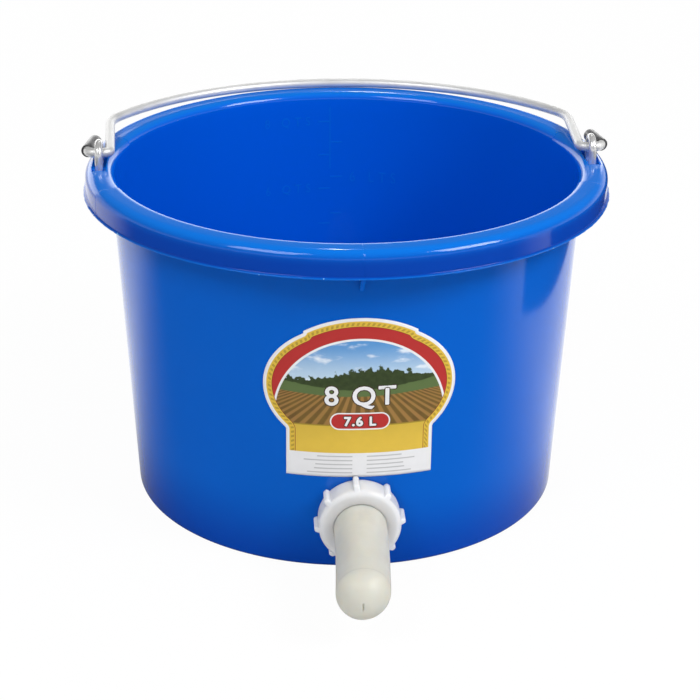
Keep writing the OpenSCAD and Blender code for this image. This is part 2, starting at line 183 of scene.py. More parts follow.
class OutletSizes(bpy.types.PropertyGroup):
    """Sizes of the outlet. Places along its axis are measured from the outside of the wall."""
    height: length("Height", "Height of the outlet's axis where it leaves the wall", 32.5)
    spigot: length("Spigot radius", "Outside radius of the tube through the wall", 17.8)
    bore: length("Bore radius", "Inside radius of that tube", 14.8)
    spigot_front: length("Spigot front", "Place of the front of the tube", 7)
    flange: length("Flange radius", "Radius of the flange inside the pail", 23.5)
    flange_front: length("Flange front", "Place of the front of the flange", -6.38)
    flange_thick: length("Flange thickness", "Thickness of the flange", 2.8)
    seat: length("Seat radius", "Radius of the hole in the valve seat", 7)
    thread_pitch: length("Thread pitch", "Rise of the thread in one turn", 3.2)
    thread_depth: length("Thread depth", "Depth of the thread's groove", 0.7)
    nut: length("Nut radius", "Radius of the nut without its lugs", 21.4)
    nut_back: length("Nut back", "Place of the back of the nut", 0.5)
    nut_length: length("Nut length", "Length of the nut", 13)
    nut_lip: length("Nut lip", "Thickness of the nut's front", 2.6)
    nut_round: length("Nut rounding", "Rounding of the nut's front edge", 2.8)
    lug_count: IntProperty(name="Lugs", description="Number of grip lugs", default=8, min=3)
    lug_rise: length("Lug rise", "How far a lug stands out", 2.2)
    lug_width: length("Lug width", "Width of a lug", 3.2)
    lug_end: length("Lug end", "Front of the nut back to the front of the lugs", 1.2)
    lug_turn: angle("Lug turn", "Turn of the lugs about the axis", 5)
    clearance: length("Clearance", "Gap around the spigot", 0.25)
    mouth_gap: length("Mouth gap", "Gap between the nut's mouth and the teat", 0.03)
    teat: length("Teat radius", "Radius of the teat", 13.65)
    teat_wall: length("Teat wall", "Thickness of the rubber", 2.3)
    teat_flange: length("Teat flange", "Radius of the flange that the nut holds", 17.3)
    teat_length: length("Teat length", "Length of the teat in front of the nut", 72.2)
    teat_lean: length("Teat lean", "How far the tip leans to the left", 3.4)
    slit_length: length("Slit length", "Length of the slit in the tip", 4)
    slit_width: length("Slit width", "Width of the slit in the tip", 0.6)


class LabelSizes(bpy.types.PropertyGroup):
    """Sizes of the label, measured along the wall."""
    top: length("Top", "Height of the top of the label", LABEL_HIGH.z / MM)
    bottom: length("Bottom", "Height of the bottom of the label", LABEL_LOW.z / MM)
    half_width: length("Half width", "Middle of the oval to its side", 50.3)
    panel_show: length("Panel", "Height of the lower panel below the oval", 14.3)
    panel_half: length("Panel half width", "Middle of the lower panel to its side", 38)
    tab_half: length("Tab half width", "Middle of the tab to its side", 29)
    tab_rise: length("Tab rise", "Rise of the tab above the oval", 2.5)
    tab_drop: length("Tab drop", "How far the ends of the tab drop below its middle", 8)
    title: length("Title", "Height of the large figures", 12.5)
    title_place: length("Title place", "Middle of the oval to the middle of the large figures", -5.3)
    note: length("Note", "Height of the small figures", 5)
    note_place: length("Note place", "Middle of the oval to the middle of the small figures", -18.8)
    thickness: length("Thickness", "Thickness of the film", 0.2)
    gap: length("Gap", "Gap between the film and the wall", 0.05)


class Finishes(bpy.types.PropertyGroup):
    """Colours of the finishes."""
    pail: colour("Pail", "Moulded blue plastic", (0.0004, 0.098, 0.50))
    # Painted light: a paler blue laid where light falls on the rim or where the rim mirrors it
    pail_painted_light: colour("Pail edge", "Thin moulded edges that let light through", (0.002, 0.17, 0.66))
    # Painted light: the inside is painted brighter and bluer, standing in for light that bounces about in the
    # pail
    pail_inside_painted_bounce: colour("Pail inside", "Inside of the pail, where light bounces about", (0.0004, 0.094, 0.64))
    # Painted shade: skirt and foot are painted darker than the wall
    pail_painted_shade: colour("Pail shade", "Skirt and foot, which let less light through", (0.0003, 0.045, 0.35))
    pail_nick: colour("Pail nicks", "Pale nicks in the edge of the lip", (0.25, 0.55, 0.8))
    steel: colour("Steel", "Zinc plated wire", (0.76, 0.76, 0.75))
    tube: colour("Tube", "Black plastic tube", (0.03, 0.03, 0.033))
    nylon: colour("Nylon", "Natural white nylon", (0.66, 0.67, 0.69))
    gasket: colour("Gasket", "Black rubber", (0.02, 0.02, 0.021))
    valve: colour("Valve", "Soft valve rubber", (0.62, 0.57, 0.48))
    teat: colour("Teat", "Cream latex", (0.61, 0.582, 0.51))
    teat_grey: colour("Teat grime", "Grey marks on the latex", (0.33, 0.32, 0.30))
    paper: colour("Paper", "White of the label", (0.74, 0.74, 0.75))
    gold: colour("Gold", "Band around the label", (0.66, 0.44, 0.04))
    red: colour("Red", "Cap and plate of the label", (0.44, 0.022, 0.02))
    straw: colour("Straw", "Lower field of the label", (0.62, 0.42, 0.045))
    sky: colour("Sky", "Sky on the label", (0.08, 0.27, 0.58))
    haze: colour("Haze", "Sky above the horizon", (0.46, 0.60, 0.72))
    hill: colour("Hill", "Hills on the label", (0.045, 0.07, 0.022))
    soil: colour("Soil", "Ploughed field on the label", (0.19, 0.095, 0.03))
    ink: colour("Ink", "Grey rules on the label", (0.22, 0.22, 0.23))
    dark: colour("Dark ink", "Edges of the figures on the label", (0.045, 0.022, 0.012))


class StageSettings(bpy.types.PropertyGroup):
    """Camera, light and floor."""
    camera_reach: length("Camera reach", "Level distance from the pail's axis to the camera", 1052.28)
    camera_height: length("Camera height", "Height of the camera above the floor", 536.12)
    camera_turn: angle("Camera turn", "Turn of the camera about the pail's axis", 3.6)
    camera_pitch: angle("Camera pitch", "How far the camera looks down", 23.743)
    camera_yaw: angle("Camera yaw", "How far the camera looks to the right", 0.141)
    camera_roll: angle("Camera roll", "Turn of the camera about its line of sight", 0.4426)
    lens: FloatProperty(name="Lens", description="Focal length", default=104.51, subtype="DISTANCE_CAMERA")
    room: FloatProperty(name="Room light", description="Strength of the even light all round", default=0.5)
    ceiling: FloatProperty(name="Ceiling", description="Strength of the dim ceiling as gloss mirrors it",
                           default=0.12)
    key: power("Key light", "Power of the box at the right", 22)
    key_place: lengths("Key place", "Middle of the box at the right", (1150, -800, 1300))
    key_size: lengths("Key size", "Width and height of the box at the right", (750, 600))
    fill: power("Fill light", "Power of the box at the left", 11)
    fill_place: lengths("Fill place", "Middle of the box at the left", (-800, -900, 1320))
    fill_size: lengths("Fill size", "Width and height of the box at the left", (750, 600))
    strip: power("Strip light", "Power of the strip behind", 1.1)
    strip_place: lengths("Strip place", "Middle of the strip behind", (32, 900, 1250))
    strip_size: lengths("Strip size", "Width and height of the strip behind", (45, 250))
    screen: power("Back screen", "Power of the low screen behind", 8)
    screen_place: lengths("Screen place", "Middle of the low screen behind", (-250, 1700, 420))
    screen_size: lengths("Screen size", "Width and height of the low screen behind", (2600, 600))
    lamp_aim: length("Lamp aim", "Height on the pail's axis that the lamps point at", 100)
    floor_white: FloatProperty(name="Floor white", description="Share of the floor that shows as plain white",
                               default=0.96, subtype="FACTOR", min=0, max=1)
    floor_half: length("Floor half", "Middle of the floor to its side", 4000)


class CalfPailSettings(bpy.types.PropertyGroup):
    """All settings of the bucket."""
    pail: PointerProperty(type=PailSizes)
    marks: PointerProperty(type=MarkSizes)
    wire: PointerProperty(type=WireSizes)
    outlet: PointerProperty(type=OutletSizes)
    label: PointerProperty(type=LabelSizes)
    finish: PointerProperty(type=Finishes)
    stage: PointerProperty(type=StageSettings)


# Curves and surfaces

def unit(vectors):
    """Vectors of length one along the given ones."""
    return vectors / np.linalg.norm(vectors, axis=-1, keepdims=True)


def ease(values, low, high):
    """Smooth step: 0 below low, 1 above high and 3t^2 - 2t^3 between them."""
    t = np.clip((values - low) / (high - low), 0, 1)
    return t * t * (3 - 2 * t)


def rounded(corners, step, ring=False, arc_steps=10):
    """Outline through corners given as (x, y, rounding).

    Each corner becomes an arc that touches both of its sides. Its centre lies on the corner's bisector, at
    rounding / sin(half angle) from it. Straight stretches are cut into lengths of about step, which is one
    number or one for the stretch after each corner. A ring's last corner joins its first.
    """
    corners = np.array(corners, float)
    spots = corners[:, :2]
    to_back = unit(np.roll(spots, 1, axis=0) - spots)
    to_ahead = unit(np.roll(spots, -1, axis=0) - spots)
    steps = np.broadcast_to(step, len(corners))
    runs, run_steps = [], []
    for spot, back, ahead, radius, reach in zip(spots, to_back, to_ahead, corners[:, 2], steps):
        if radius == 0:
            run = spot[None]
        else:
            half = math.acos(np.clip(back @ ahead, -1, 1)) / 2
            centre = spot + unit(back + ahead) * radius / math.sin(half)
            start = spot + back * radius / math.tan(half) - centre
            turn = (math.pi - 2 * half) * np.sign(back[1] * ahead[0] - back[0] * ahead[1])
            a = np.linspace(0, turn, arc_steps + 1)
            run = centre + np.stack([start[0] * np.cos(a) - start[1] * np.sin(a),
                                     start[0] * np.sin(a) + start[1] * np.cos(a)], axis=-1)
        runs.append(run)
        run_steps.append(np.append(np.full(len(run) - 1, np.inf), reach))
    outline = np.concatenate(runs + ([runs[0][:1]] if ring else []))
    gaps = np.linalg.norm(np.diff(outline, axis=0), axis=1)
    cuts = np.maximum(np.ceil(gaps / np.concatenate(run_steps)[:len(gaps)]), 1).astype(int)
    parts = [np.linspace(a, b, n, endpoint=False)
             for a, b, n, gap in zip(outline, outline[1:], cuts, gaps) if gap > LEAST_GAP]
    return np.concatenate(parts if ring else parts + [outline[-1:]])


def lathe(outline, turns):
    """Grid of an outline of (radius, height) points turned about Z: (r cos a, r sin a, z)."""
    r, z = outline[:, :1], outline[:, 1:]
    return np.stack([r * np.cos(turns), r * np.sin(turns), z + 0 * turns], axis=-1)


def sides(count):
    """Even angles around a full turn."""
    return np.linspace(-math.pi, math.pi, count, endpoint=False)


def with_fine(turns, spots, half, count):
    """Angles around a turn, with a finer run of count angles from -half to +half around each spot."""
    margin = 1.2
    runs = [spot + np.linspace(-half, half, count) for spot in spots]
    rest = turns[np.all([np.abs(wrap(turns - spot)) > half * margin for spot in spots], axis=0)]
    return np.sort(wrap(np.concatenate([rest, *runs])))


def wrap(turns):
    """Angles brought into the range from -pi to pi."""
    return (turns + math.pi) % (2 * math.pi) - math.pi


def tube_grid(path, normal, diameter, count):
    """Round wire along a flat path: path + r (side cos a + normal sin a), where side = normal x tangent.

    Extra rows at both ends shrink towards the path's end point, so the ends are slightly domed.
    """
    cap_rows, dome = 3, 0.25
    tangent = unit(np.gradient(path, axis=0))
    side = np.cross(normal, tangent)
    a = sides(count)[None, :, None]
    ring = side[:, None] * np.cos(a) + normal * np.sin(a)
    radius = diameter / 2
    body = path[:, None] + radius * ring
    bend = np.linspace(0, math.pi / 2, cap_rows + 2)[1:-1]
    shrink, rise = np.cos(bend), np.sin(bend) * radius * dome
    caps = []
    for end, out in ((0, -1), (-1, 1)):
        cap = path[end] + radius * ring[end] * shrink[:, None, None]
        caps.append(cap + (tangent[end] * out * rise[:, None])[:, None])
    return np.concatenate([caps[0][::-1], body, caps[1]])


def grid_faces(rows, cols, ring, poles):
    """Quads between neighbours of a grid whose columns close on themselves, and fans to the poles."""
    index = np.arange(rows * cols).reshape(rows, cols)
    lower = index if ring else index[:-1]
    upper = np.roll(index, -1, axis=0) if ring else index[1:]
    quads = np.stack([lower, np.roll(lower, -1, axis=1), np.roll(upper, -1, axis=1), upper], axis=-1)
    faces = quads.reshape(-1, 4).tolist()
    for pole, row in poles:
        around, after = index[row], np.roll(index[row], -1)
        pair = (after, around) if row == 0 else (around, after)
        faces += np.stack([*pair, np.full(cols, pole)], axis=-1).tolist()
    return faces


def skin(name, grid, ring=False, closed=True):
    """Mesh over a grid of rows and columns. The columns close on themselves.

    A ring's rows close too. Otherwise the first and the last row each close on their middle point, or only
    the first one where the sheet is not closed. Faces are turned so that a closed mesh has positive volume.
    """
    rows, cols = grid.shape[:2]
    points = grid.reshape(-1, 3)
    poles = []
    if not ring:
        ends = [0, rows - 1] if closed else [0]
        poles = [(len(points) + i, row) for i, row in enumerate(ends)]
        points = np.concatenate([points, *[grid[row].mean(axis=0, keepdims=True) for row in ends]])
    mesh = bpy.data.meshes.new(name)
    mesh.from_pydata(points.tolist(), [], grid_faces(rows, cols, ring, poles))
    if closed and signed_volume(mesh) < 0:
        mesh.flip_normals()
    return mesh


def triangles(mesh):
    """Points of a mesh, and its triangles as the numbers of their three points."""
    mesh.calc_loop_triangles()
    points = np.empty(len(mesh.vertices) * 3, np.float32)
    corners = np.empty(len(mesh.loop_triangles) * 3, np.int32)
    mesh.vertices.foreach_get("co", points)
    mesh.loop_triangles.foreach_get("vertices", corners)
    return points.reshape(-1, 3), corners.reshape(-1, 3)


def signed_volume(mesh):
    """Six times the volume that the faces enclose, positive where they point outwards."""
    points, corners = triangles(mesh)
    a, b, c = (points[corners[:, i]].astype(float) for i in range(3))
    return np.einsum("ij,ij->", a, np.cross(b, c))


def piece(mesh, material, body, replaced=()):
    """Object of a finished mesh, with soft shading, its finish, and the body that it rides on."""
    mesh.shade_smooth()
    mesh.set_sharp_from_angle(angle=SHARP_EDGE)
    mesh.materials.clear()
    mesh.materials.append(material)
    thing = bpy.data.objects.new(mesh.name, mesh)
    bpy.context.scene.collection.objects.link(thing)
    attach(thing, body)
    if replaced:
        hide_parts(*replaced)
    return thing


def carve(mesh, others, operation):
    """Mesh joined with other meshes, or cut by them, with exact Booleans.

    It takes the name of the first one, and its faces with more than four corners become triangles.
    """
    scene = bpy.context.scene.collection
    thing = bpy.data.objects.new("blank", mesh)
    scene.objects.link(thing)
    for other in others:
        tool = bpy.data.objects.new("tool", other)
        scene.objects.link(tool)
        modifier = thing.modifiers.new(operation, "BOOLEAN")
        modifier.operation = operation
        modifier.solver = "EXACT"
        modifier.object = tool
    graph = bpy.context.evaluated_depsgraph_get()
    result = bpy.data.meshes.new_from_object(thing.evaluated_get(graph))
    name = mesh.name
    for old in (mesh, *others):
        bpy.data.meshes.remove(old)
    result.name = name
    cells = bmesh.new()
    cells.from_mesh(result)
    bmesh.ops.triangulate(cells, faces=[face for face in cells.faces if len(face.verts) > 4])
    cells.to_mesh(result)
    cells.free()
    return result


def merged(parts, name):
    """One mesh of several (points, triangles) pairs, with double points merged in each."""
    points, faces, start = [], [], 0
    for part_points, part_faces in parts:
        kept, back = np.unique(np.round(part_points, POINT_DIGITS), axis=0, return_inverse=True)
        points.append(kept)
        faces.append(back.reshape(-1)[part_faces] + start)
        start += len(kept)
    mesh = bpy.data.meshes.new(name)
    mesh.from_pydata(np.concatenate(points).tolist(), [], np.concatenate(faces).tolist())
    mesh.validate()
    return mesh


def lettering(words, height, width=None, spacing=1.0):
    """Points and triangles of words in the built-in face, with capitals of that height.

    They are centred on the origin, and the width is set where one is given. The third coordinate runs from 0
    at the back to 1 at the front.
    """
    curve = bpy.data.curves.new("words", "FONT")
    curve.body = words
    curve.align_x = "CENTER"
    curve.resolution_u = 4
    curve.extrude = 0.5
    curve.space_character = spacing
    thing = bpy.data.objects.new("words", curve)
    bpy.context.scene.collection.objects.link(thing)
    mesh = bpy.data.meshes.new_from_object(thing.evaluated_get(bpy.context.evaluated_depsgraph_get()))
    points, corners = triangles(mesh)
    low, high = points.min(axis=0), points.max(axis=0)
    size = high - low
    scale = height / size[1]
    stretch = np.array([width / size[0] if width else scale, scale, 1])
    points = (points - [*(low + high)[:2] / 2, low[2]]) * stretch
    bpy.data.objects.remove(thing)
    bpy.data.curves.remove(curve)
    bpy.data.meshes.remove(mesh)
    return points, corners


def bar(width, height, cuts=12):
    """Points and triangles of a flat bar centred on the origin, in the form that lettering gives."""
    x = np.linspace(-width / 2, width / 2, cuts + 1)
    lower, upper = np.stack([x, 0 * x - height / 2], -1), np.stack([x[::-1], 0 * x + height / 2], -1)
    outline = np.concatenate([lower, upper])
    count = len(outline)
    points = np.concatenate([np.insert(outline, 2, level, axis=1) for level in (0, 1)])
    here = np.arange(count)
    after = np.roll(here, -1)
    walls = [np.stack([here, after, after + count], -1), np.stack([here, after + count, here + count], -1)]
    i = np.arange(cuts)
    mate = count - 1 - i
    front = np.concatenate([np.stack([i, i + 1, mate - 1], -1), np.stack([i, mate - 1, mate], -1)])
    return points, np.concatenate([*walls, front + count, front[:, ::-1]])


# Places that more than one piece uses

def outer_radius(pail, z):
    """Radius of the outside of the wall at a height: base + z tan(draft)."""
    return pail.base_radius + z * math.tan(pail.draft)


def inner_radius(pail, z):
    """Radius of the inside of the wall at a height."""
    return outer_radius(pail, z) - pail.wall / math.cos(pail.draft)


def eye_place(pail):
    """Distance from the pail's axis to the middle of the rim, where the eyes stand."""
    return (inner_radius(pail, pail.height) + pail.lip_radius - pail.lip_out) / 2


def on_outlet(settings, grid):
    """Points given as (across, up, along the outlet's axis) put in their place on the wall."""
    pail, z = settings.pail, settings.outlet.height
    c, s = math.cos(pail.draft), math.sin(pail.draft)
    x, up, along = np.moveaxis(grid, -1, 0)
    return np.stack([x, -outer_radius(pail, z) - up * s - along * c, z + up * c - along * s], axis=-1)


# Finishes

class Nodes:
    """Short calls that add nodes to a tree. Values are numbers, colours or the sockets of other nodes."""

    def __init__(self, tree):
        self.tree = tree

    def put(self, socket, value):
        """Links a socket to another one, or sets its own value."""
        if isinstance(value, bpy.types.NodeSocket):
            self.tree.links.new(value, socket)
        else:
            socket.default_value = value

    def node(self, kind, inputs, **options):
        """Outputs of a new node with these inputs and options."""
        node = self.tree.nodes.new("ShaderNode" + kind)
        for key, value in options.items():
            setattr(node, key, value)
        for key, value in inputs.items():
            self.put(node.inputs[key], value)
        return node.outputs

    def math(self, operation, *values):
        """Result of a math node."""
        return self.node("Math", dict(enumerate(values)), operation=operation)[0]

    def times(self, first, *others):
        """Product of several values."""
        for other in others:
            first = self.math("MULTIPLY", first, other)
        return first

    def distance(self, x, y):
        """Length of the flat vector (x, y)."""
        return self.math("SQRT", self.math("ADD", self.times(x, x), self.times(y, y)))

    def step(self, value, low, high):
        """Smooth step of a value, 0 at low and 1 at high."""
        inputs = {"Value": value, "From Min": low, "From Max": high}
        return self.node("MapRange", inputs, interpolation_type="SMOOTHSTEP")["Result"]

    def fall(self, value, low, high):
        """Smooth step of a value, 1 at low and 0 at high."""
        return self.math("SUBTRACT", 1.0, self.step(value, low, high))

    def below(self, value, border, soft):
        """1 where a value lies below a border, with a soft edge."""
        return self.step(self.math("SUBTRACT", border, value), -soft, soft)

    def span(self, value, low, high, soft):
        """1 where a value lies between low and high, with soft edges."""
        rise = self.step(value, low - soft, low + soft)
        return self.times(rise, self.fall(value, high - soft, high + soft))

    def between(self, factor, low, high):
        """A number between two others."""
        return self.node("MapRange", {"Value": factor, "To Min": low, "To Max": high})["Result"]

    def seen_as_white(self):
        """1 for rays from the camera, from glossy surfaces and through clear ones."""
        path = self.node("LightPath", {})
        seen = self.math("MAXIMUM", path["Is Camera Ray"], path["Is Glossy Ray"])
        return self.math("MAXIMUM", seen, path["Is Transmission Ray"])


class Finish(Nodes):
    """A new material with one surface shader, whose nodes read the piece's own places."""

    def __init__(self, name, **values):
        self.material = bpy.data.materials.new(name)
        self.material.use_nodes = True
        super().__init__(self.material.node_tree)
        self.surface = self.tree.nodes["Principled BSDF"]
        for socket, value in values.items():
            self.set(socket.replace("_", " "), value)
        self.spot = self.node("TexCoord", {})["Object"]

    def set(self, socket, value):
        """Sets or links a socket of the surface shader."""
        self.put(self.surface.inputs[socket], value)

    def noise(self, scale, detail, stretch=(1, 1, 1), spot=None):
        """Noise on the piece, stretched along its axes."""
        place = self.node("Mapping", {"Vector": spot or self.spot, "Scale": stretch})["Vector"]
        return self.node("TexNoise", {"Vector": place, "Scale": scale, "Detail": detail})["Fac"]

    def mix(self, factor, under, over, blend="MIX"):
        """Colour between two others. The sockets of a colour mix are its factor, 6 and 7."""
        inputs = {0: factor}
        for key, value in ((6, under), (7, over)):
            inputs[key] = value if isinstance(value, bpy.types.NodeSocket) else (*value, 1)
        return self.node("Mix", inputs, data_type="RGBA", blend_type=blend)[2]

    def bump(self, height, distance, strength, normal=None):
        """Adds relief of that depth to the surface."""
        inputs = {"Height": height, "Distance": distance, "Strength": strength}
        if normal is not None:
            inputs["Normal"] = normal
        out = self.node("Bump", inputs)["Normal"]
        self.set("Normal", out)
        return out


def tint(value, factor):
    """A colour made darker or lighter by a factor."""
    return tuple(min(1.0, part * factor) for part in value)


def pail_finish(settings, name="pail_plastic", pale=0.0):
    """Blue polyethylene with a slightly cloudy colour, a few nicks, fine orange peel and uneven gloss.

    The inside is painted brighter, for light that bounces about in it, and the skirt and the foot are
    painted darker, as shade. Crown, lip edge and pockets get painted light: a paler blue for light that
    falls on them or that they mirror.
    """
    colours, pail, wire = settings.finish, settings.pail, settings.wire
    made = Finish(name, IOR=1.38)
    x, y, z = made.node("SeparateXYZ", {"Vector": made.spot})
    radius = made.distance(x, y)

    # Zones on the pail, most of them as the two ends of a smooth step of the radius or of the height
    lip, top = pail.lip_radius, pail.height
    lip_edge = (lip - 1.0 * MM, lip - 0.2 * MM)
    skirt_out, skirt_high = (lip - 9 * MM, lip - 1.4 * MM), (top - 8 * MM, top)
    crown_out, crown_high = (lip - 20 * MM, lip - 15 * MM), (top - 6 * MM, top - 1 * MM)
    foot_high = (0.0, 45 * MM)
    wall_middle = (0.4 * pail.wall, 0.6 * pail.wall)
    floor_high = (pail.foot_height, pail.foot_height + pail.floor)
    pocket_wide = wire.eye_wire / 2 + wire.pocket_gap + 0.5 * MM
    pocket_long = wire.pocket_length / 2 + 0.7 * MM
    pocket_high = (top - 6 * MM, top - 0.7 * MM)
    sharp, soft = 0.2 * MM, 0.3 * MM

    leaning = made.math("MULTIPLY_ADD", z, -math.tan(pail.draft), radius)
    depth = made.math("SUBTRACT", pail.base_radius, leaning)
    inside = made.times(made.step(depth, *wall_middle), made.step(z, *floor_high))
    crown = made.times(made.step(radius, *crown_out), made.step(z, *crown_high))
    skirt = made.times(made.step(radius, *skirt_out), made.fall(z, *skirt_high))
    # Mask of painted shade: the skirt, and the wall fading darker towards the floor
    shade = made.math("MAXIMUM", skirt, made.times(made.fall(z, *foot_high), 0.85))
    # Band along the lip's edge, where a painted highlight goes and where the nicks lie
    thin = made.step(radius, *lip_edge)
    across = made.math("ABSOLUTE", made.math("SUBTRACT", made.math("ABSOLUTE", x), eye_place(pail)))
    # Mask of the pockets, which get painted light
    pocket = made.times(made.fall(across, pocket_wide - sharp, pocket_wide + sharp),
                        made.span(y, -pocket_long, pocket_long, sharp), made.span(z, *pocket_high, soft))
    nick = made.times(thin, made.step(made.noise(260.0, 2.0), 0.69, 0.72))

    base = made.mix(made.noise(9.0, 2.0), tint(colours.pail, 0.95), tint(colours.pail, 1.05))
    # Painted bounce light over the inside of the pail
    base = made.mix(inside, base, colours.pail_inside_painted_bounce)
    # Painted light over the whole piece by the given share, used for the raised marks
    base = made.mix(pale, base, colours.pail_painted_light)
    # Painted light on the crown, which faces the lamps above
    base = made.mix(made.times(crown, 0.6), base, colours.pail_painted_light)
    # Painted shade on the skirt and towards the floor
    base = made.mix(shade, base, colours.pail_painted_shade)
    # Painted highlight along the lip's edge
    base = made.mix(made.times(thin, 0.5), base, colours.pail_painted_light)
    # Painted light in the pockets
    base = made.mix(pocket, base, tint(colours.pail_painted_light, 1.4))
    base = made.mix(nick, base, colours.pail_nick)
    made.set("Base Color", base)
    made.set("Roughness", made.between(made.noise(30.0, 4.0), 0.07, 0.13))
    peel = made.bump(made.noise(600.0, 2.0), 0.02 * MM, 0.3)
    made.bump(made.noise(45.0, 2.0), 0.2 * MM, 0.2, peel)
    return made.material


def steel_finish(settings, name, dull, metal):
    """Drawn, zinc plated wire: fine lines along its length, cloudy grey patches and uneven gloss."""
    made = Finish(name, Metallic=metal, IOR=1.6)
    run = made.node("UVMap", {}, uv_map="UVMap")["UV"]
    lines = made.noise(1.0, 3.0, (25, 2600, 1), run)
    cloud = made.noise(90.0, 4.0)
    steel = settings.finish.steel
    made.set("Base Color", made.mix(cloud, tint(steel, 0.82), tint(steel, 1.12)))
    uneven = made.math("ADD", made.times(lines, 0.5), made.times(cloud, 0.5))
    made.set("Roughness", made.between(uneven, dull - 0.1, dull + 0.14))
    made.bump(lines, 0.04 * MM, 0.4)
    return made.material


def tube_finish(settings):
    """Glossy black tube with faint scuffs."""
    made = Finish("tube_plastic", IOR=2.0)
    scuff = made.step(made.noise(900.0, 5.0, (1, 1, 3)), 0.5, 0.75)
    made.set("Base Color", made.mix(scuff, settings.finish.tube, tint(settings.finish.tube, 2.2)))
    made.set("Roughness", made.between(scuff, 0.3, 0.42))
    made.bump(made.noise(400.0, 3.0), 0.05 * MM, 0.3)
    return made.material


def nylon_finish(settings):
    """Natural nylon: milky, with light that runs under its surface, faint swirls and a satin gloss."""
    made = Finish("white_nylon", IOR=1.52, Subsurface_Weight=0.8, Subsurface_Scale=10 * MM)
    nylon = settings.finish.nylon
    swirl = made.noise(120.0, 3.0, (1, 1, 0.4))
    made.set("Base Color", made.mix(swirl, tint(nylon, 0.95), tint(nylon, 1.05)))
    made.set("Subsurface Radius", (0.8, 0.9, 1.0))
    made.set("Roughness", made.between(made.noise(200.0, 4.0), 0.26, 0.42))
    made.bump(made.noise(700.0, 2.0), 0.03 * MM, 0.4)
    return made.material


def rubber_finish(name, shade):
    """Matt rubber with a fine grain and a cloudy bloom."""
    made = Finish(name, IOR=1.5)
    bloom = made.noise(70.0, 4.0)
    made.set("Base Color", made.mix(bloom, tint(shade, 0.85), tint(shade, 1.2)))
    made.set("Roughness", made.between(bloom, 0.5, 0.68))
    made.bump(made.noise(500.0, 4.0), 0.06 * MM, 0.5)
    return made.material


def teat_finish(settings):
    """Cream latex with light under its surface, a dipped grain and a satin gloss.

    A thin line runs where the dome starts, and grey marks gather at the left by the nut.
    """
    colours, pail, o = settings.finish, settings.pail, settings.outlet
    made = Finish("cream_latex", IOR=1.45, Subsurface_Weight=0.7, Subsurface_Scale=10 * MM)
    x, y, z = made.node("SeparateXYZ", {"Vector": made.spot})
    c, s = math.cos(pail.draft), math.sin(pail.draft)
    along = made.math("MULTIPLY_ADD", y, -c, o.height * s - outer_radius(pail, o.height) * c)
    along = made.math("MULTIPLY_ADD", z, -s, along)
    dome = o.nut_back + o.nut_length + o.teat_length - o.teat
    line_half = 0.25 * MM
    root_y, left_x = (-170 * MM, -128 * MM), (-10 * MM, 10 * MM)

    line = made.span(along, dome - line_half, dome + line_half, line_half)
    patch = made.step(made.noise(75.0, 5.0, (1, 0.5, 1)), 0.47, 0.72)
    left = made.between(made.fall(x, *left_x), 0.25, 1.0)
    # Grey patches, strongest at the left near the nut
    grey_patches = made.times(made.step(y, *root_y), patch, left)
    base = made.mix(made.noise(80.0, 5.0), tint(colours.teat, 0.9), tint(colours.teat, 1.08))
    base = made.mix(made.times(line, 0.35), base, colours.teat_grey)
    base = made.mix(made.times(grey_patches, 0.6), base, colours.teat_grey)
    made.set("Base Color", base)
    made.set("Subsurface Radius", (1.0, 0.7, 0.5))
    made.set("Roughness", made.between(made.noise(110.0, 4.0), 0.34, 0.52))
    made.bump(made.noise(320.0, 4.0), 0.1 * MM, 0.5)
    return made.material


def ink_finish(name, shade):
    """Printed ink with a slightly uneven cover."""
    made = Finish(name, IOR=1.45)
    made.set("Base Color", made.mix(made.noise(900.0, 3.0), tint(shade, 0.94), tint(shade, 1.04)))
    made.set("Roughness", made.between(made.noise(300.0, 3.0), 0.3, 0.42))
    return made.material


def label_scene(made, colours, u, v, flat):
    """Picture on the label: clouds in a sky, a row of trees, a green slope and a ploughed field.

    Borders are sine waves across the label, and noise makes those of trees and slope uneven. The furrows meet
    at a point above the field.
    """
    tree_base, tree_rise, tree_wave, tree_edge = 0.025, 0.11, 0.03, 0.004
    slope_base, slope_rise, slope_wave, slope_edge = 0.005, 0.02, 0.024, 0.003
    field_base, field_wave, field_edge = -0.035, 0.012, 0.003
    furrow_top, furrow_count = 0.13, 34.0
    cloud_white = (0.85, 0.88, 0.9)

    rough = made.noise(14.0, 3.0, spot=flat)
    tree = made.noise(34.0, 3.0, spot=flat)
    far_wave = made.math("SINE", made.math("MULTIPLY_ADD", u, 8.5, 0.9))
    near_wave = made.math("SINE", made.math("MULTIPLY_ADD", u, 6.0, -1.4))
    cloud = made.step(made.noise(6.0, 4.0, (1, 2.6, 1), flat), 0.53, 0.68)
    scene = made.mix(made.step(v, 0.02, 0.27), colours.haze, colours.sky)
    scene = made.mix(made.times(cloud, 0.75), scene, cloud_white)

    ridge = made.math("MULTIPLY_ADD", tree, tree_rise, tree_base)
    ridge = made.math("MULTIPLY_ADD", far_wave, tree_wave, ridge)
    leaf = made.mix(tree, tint(colours.hill, 0.35), tint(colours.hill, 1.3))
    scene = made.mix(made.below(v, ridge, tree_edge), scene, leaf)
    slope = made.math("MULTIPLY_ADD", rough, slope_rise, slope_base)
    slope = made.math("MULTIPLY_ADD", near_wave, slope_wave, slope)
    scene = made.mix(made.below(v, slope, slope_edge), scene, tint(colours.hill, 2.2))

    lane = made.math("DIVIDE", u, made.math("SUBTRACT", furrow_top, v))
    furrow = made.math("SINE", made.times(lane, furrow_count))
    soil = made.mix(made.step(furrow, -0.4, 0.6), tint(colours.soil, 0.6), tint(colours.soil, 1.7))
    soil = made.mix(made.times(rough, 0.5), soil, tint(colours.straw, 0.45))
    field = made.math("MULTIPLY_ADD", near_wave, field_wave, field_base)
    return made.mix(made.below(v, field, field_edge), scene, soil)


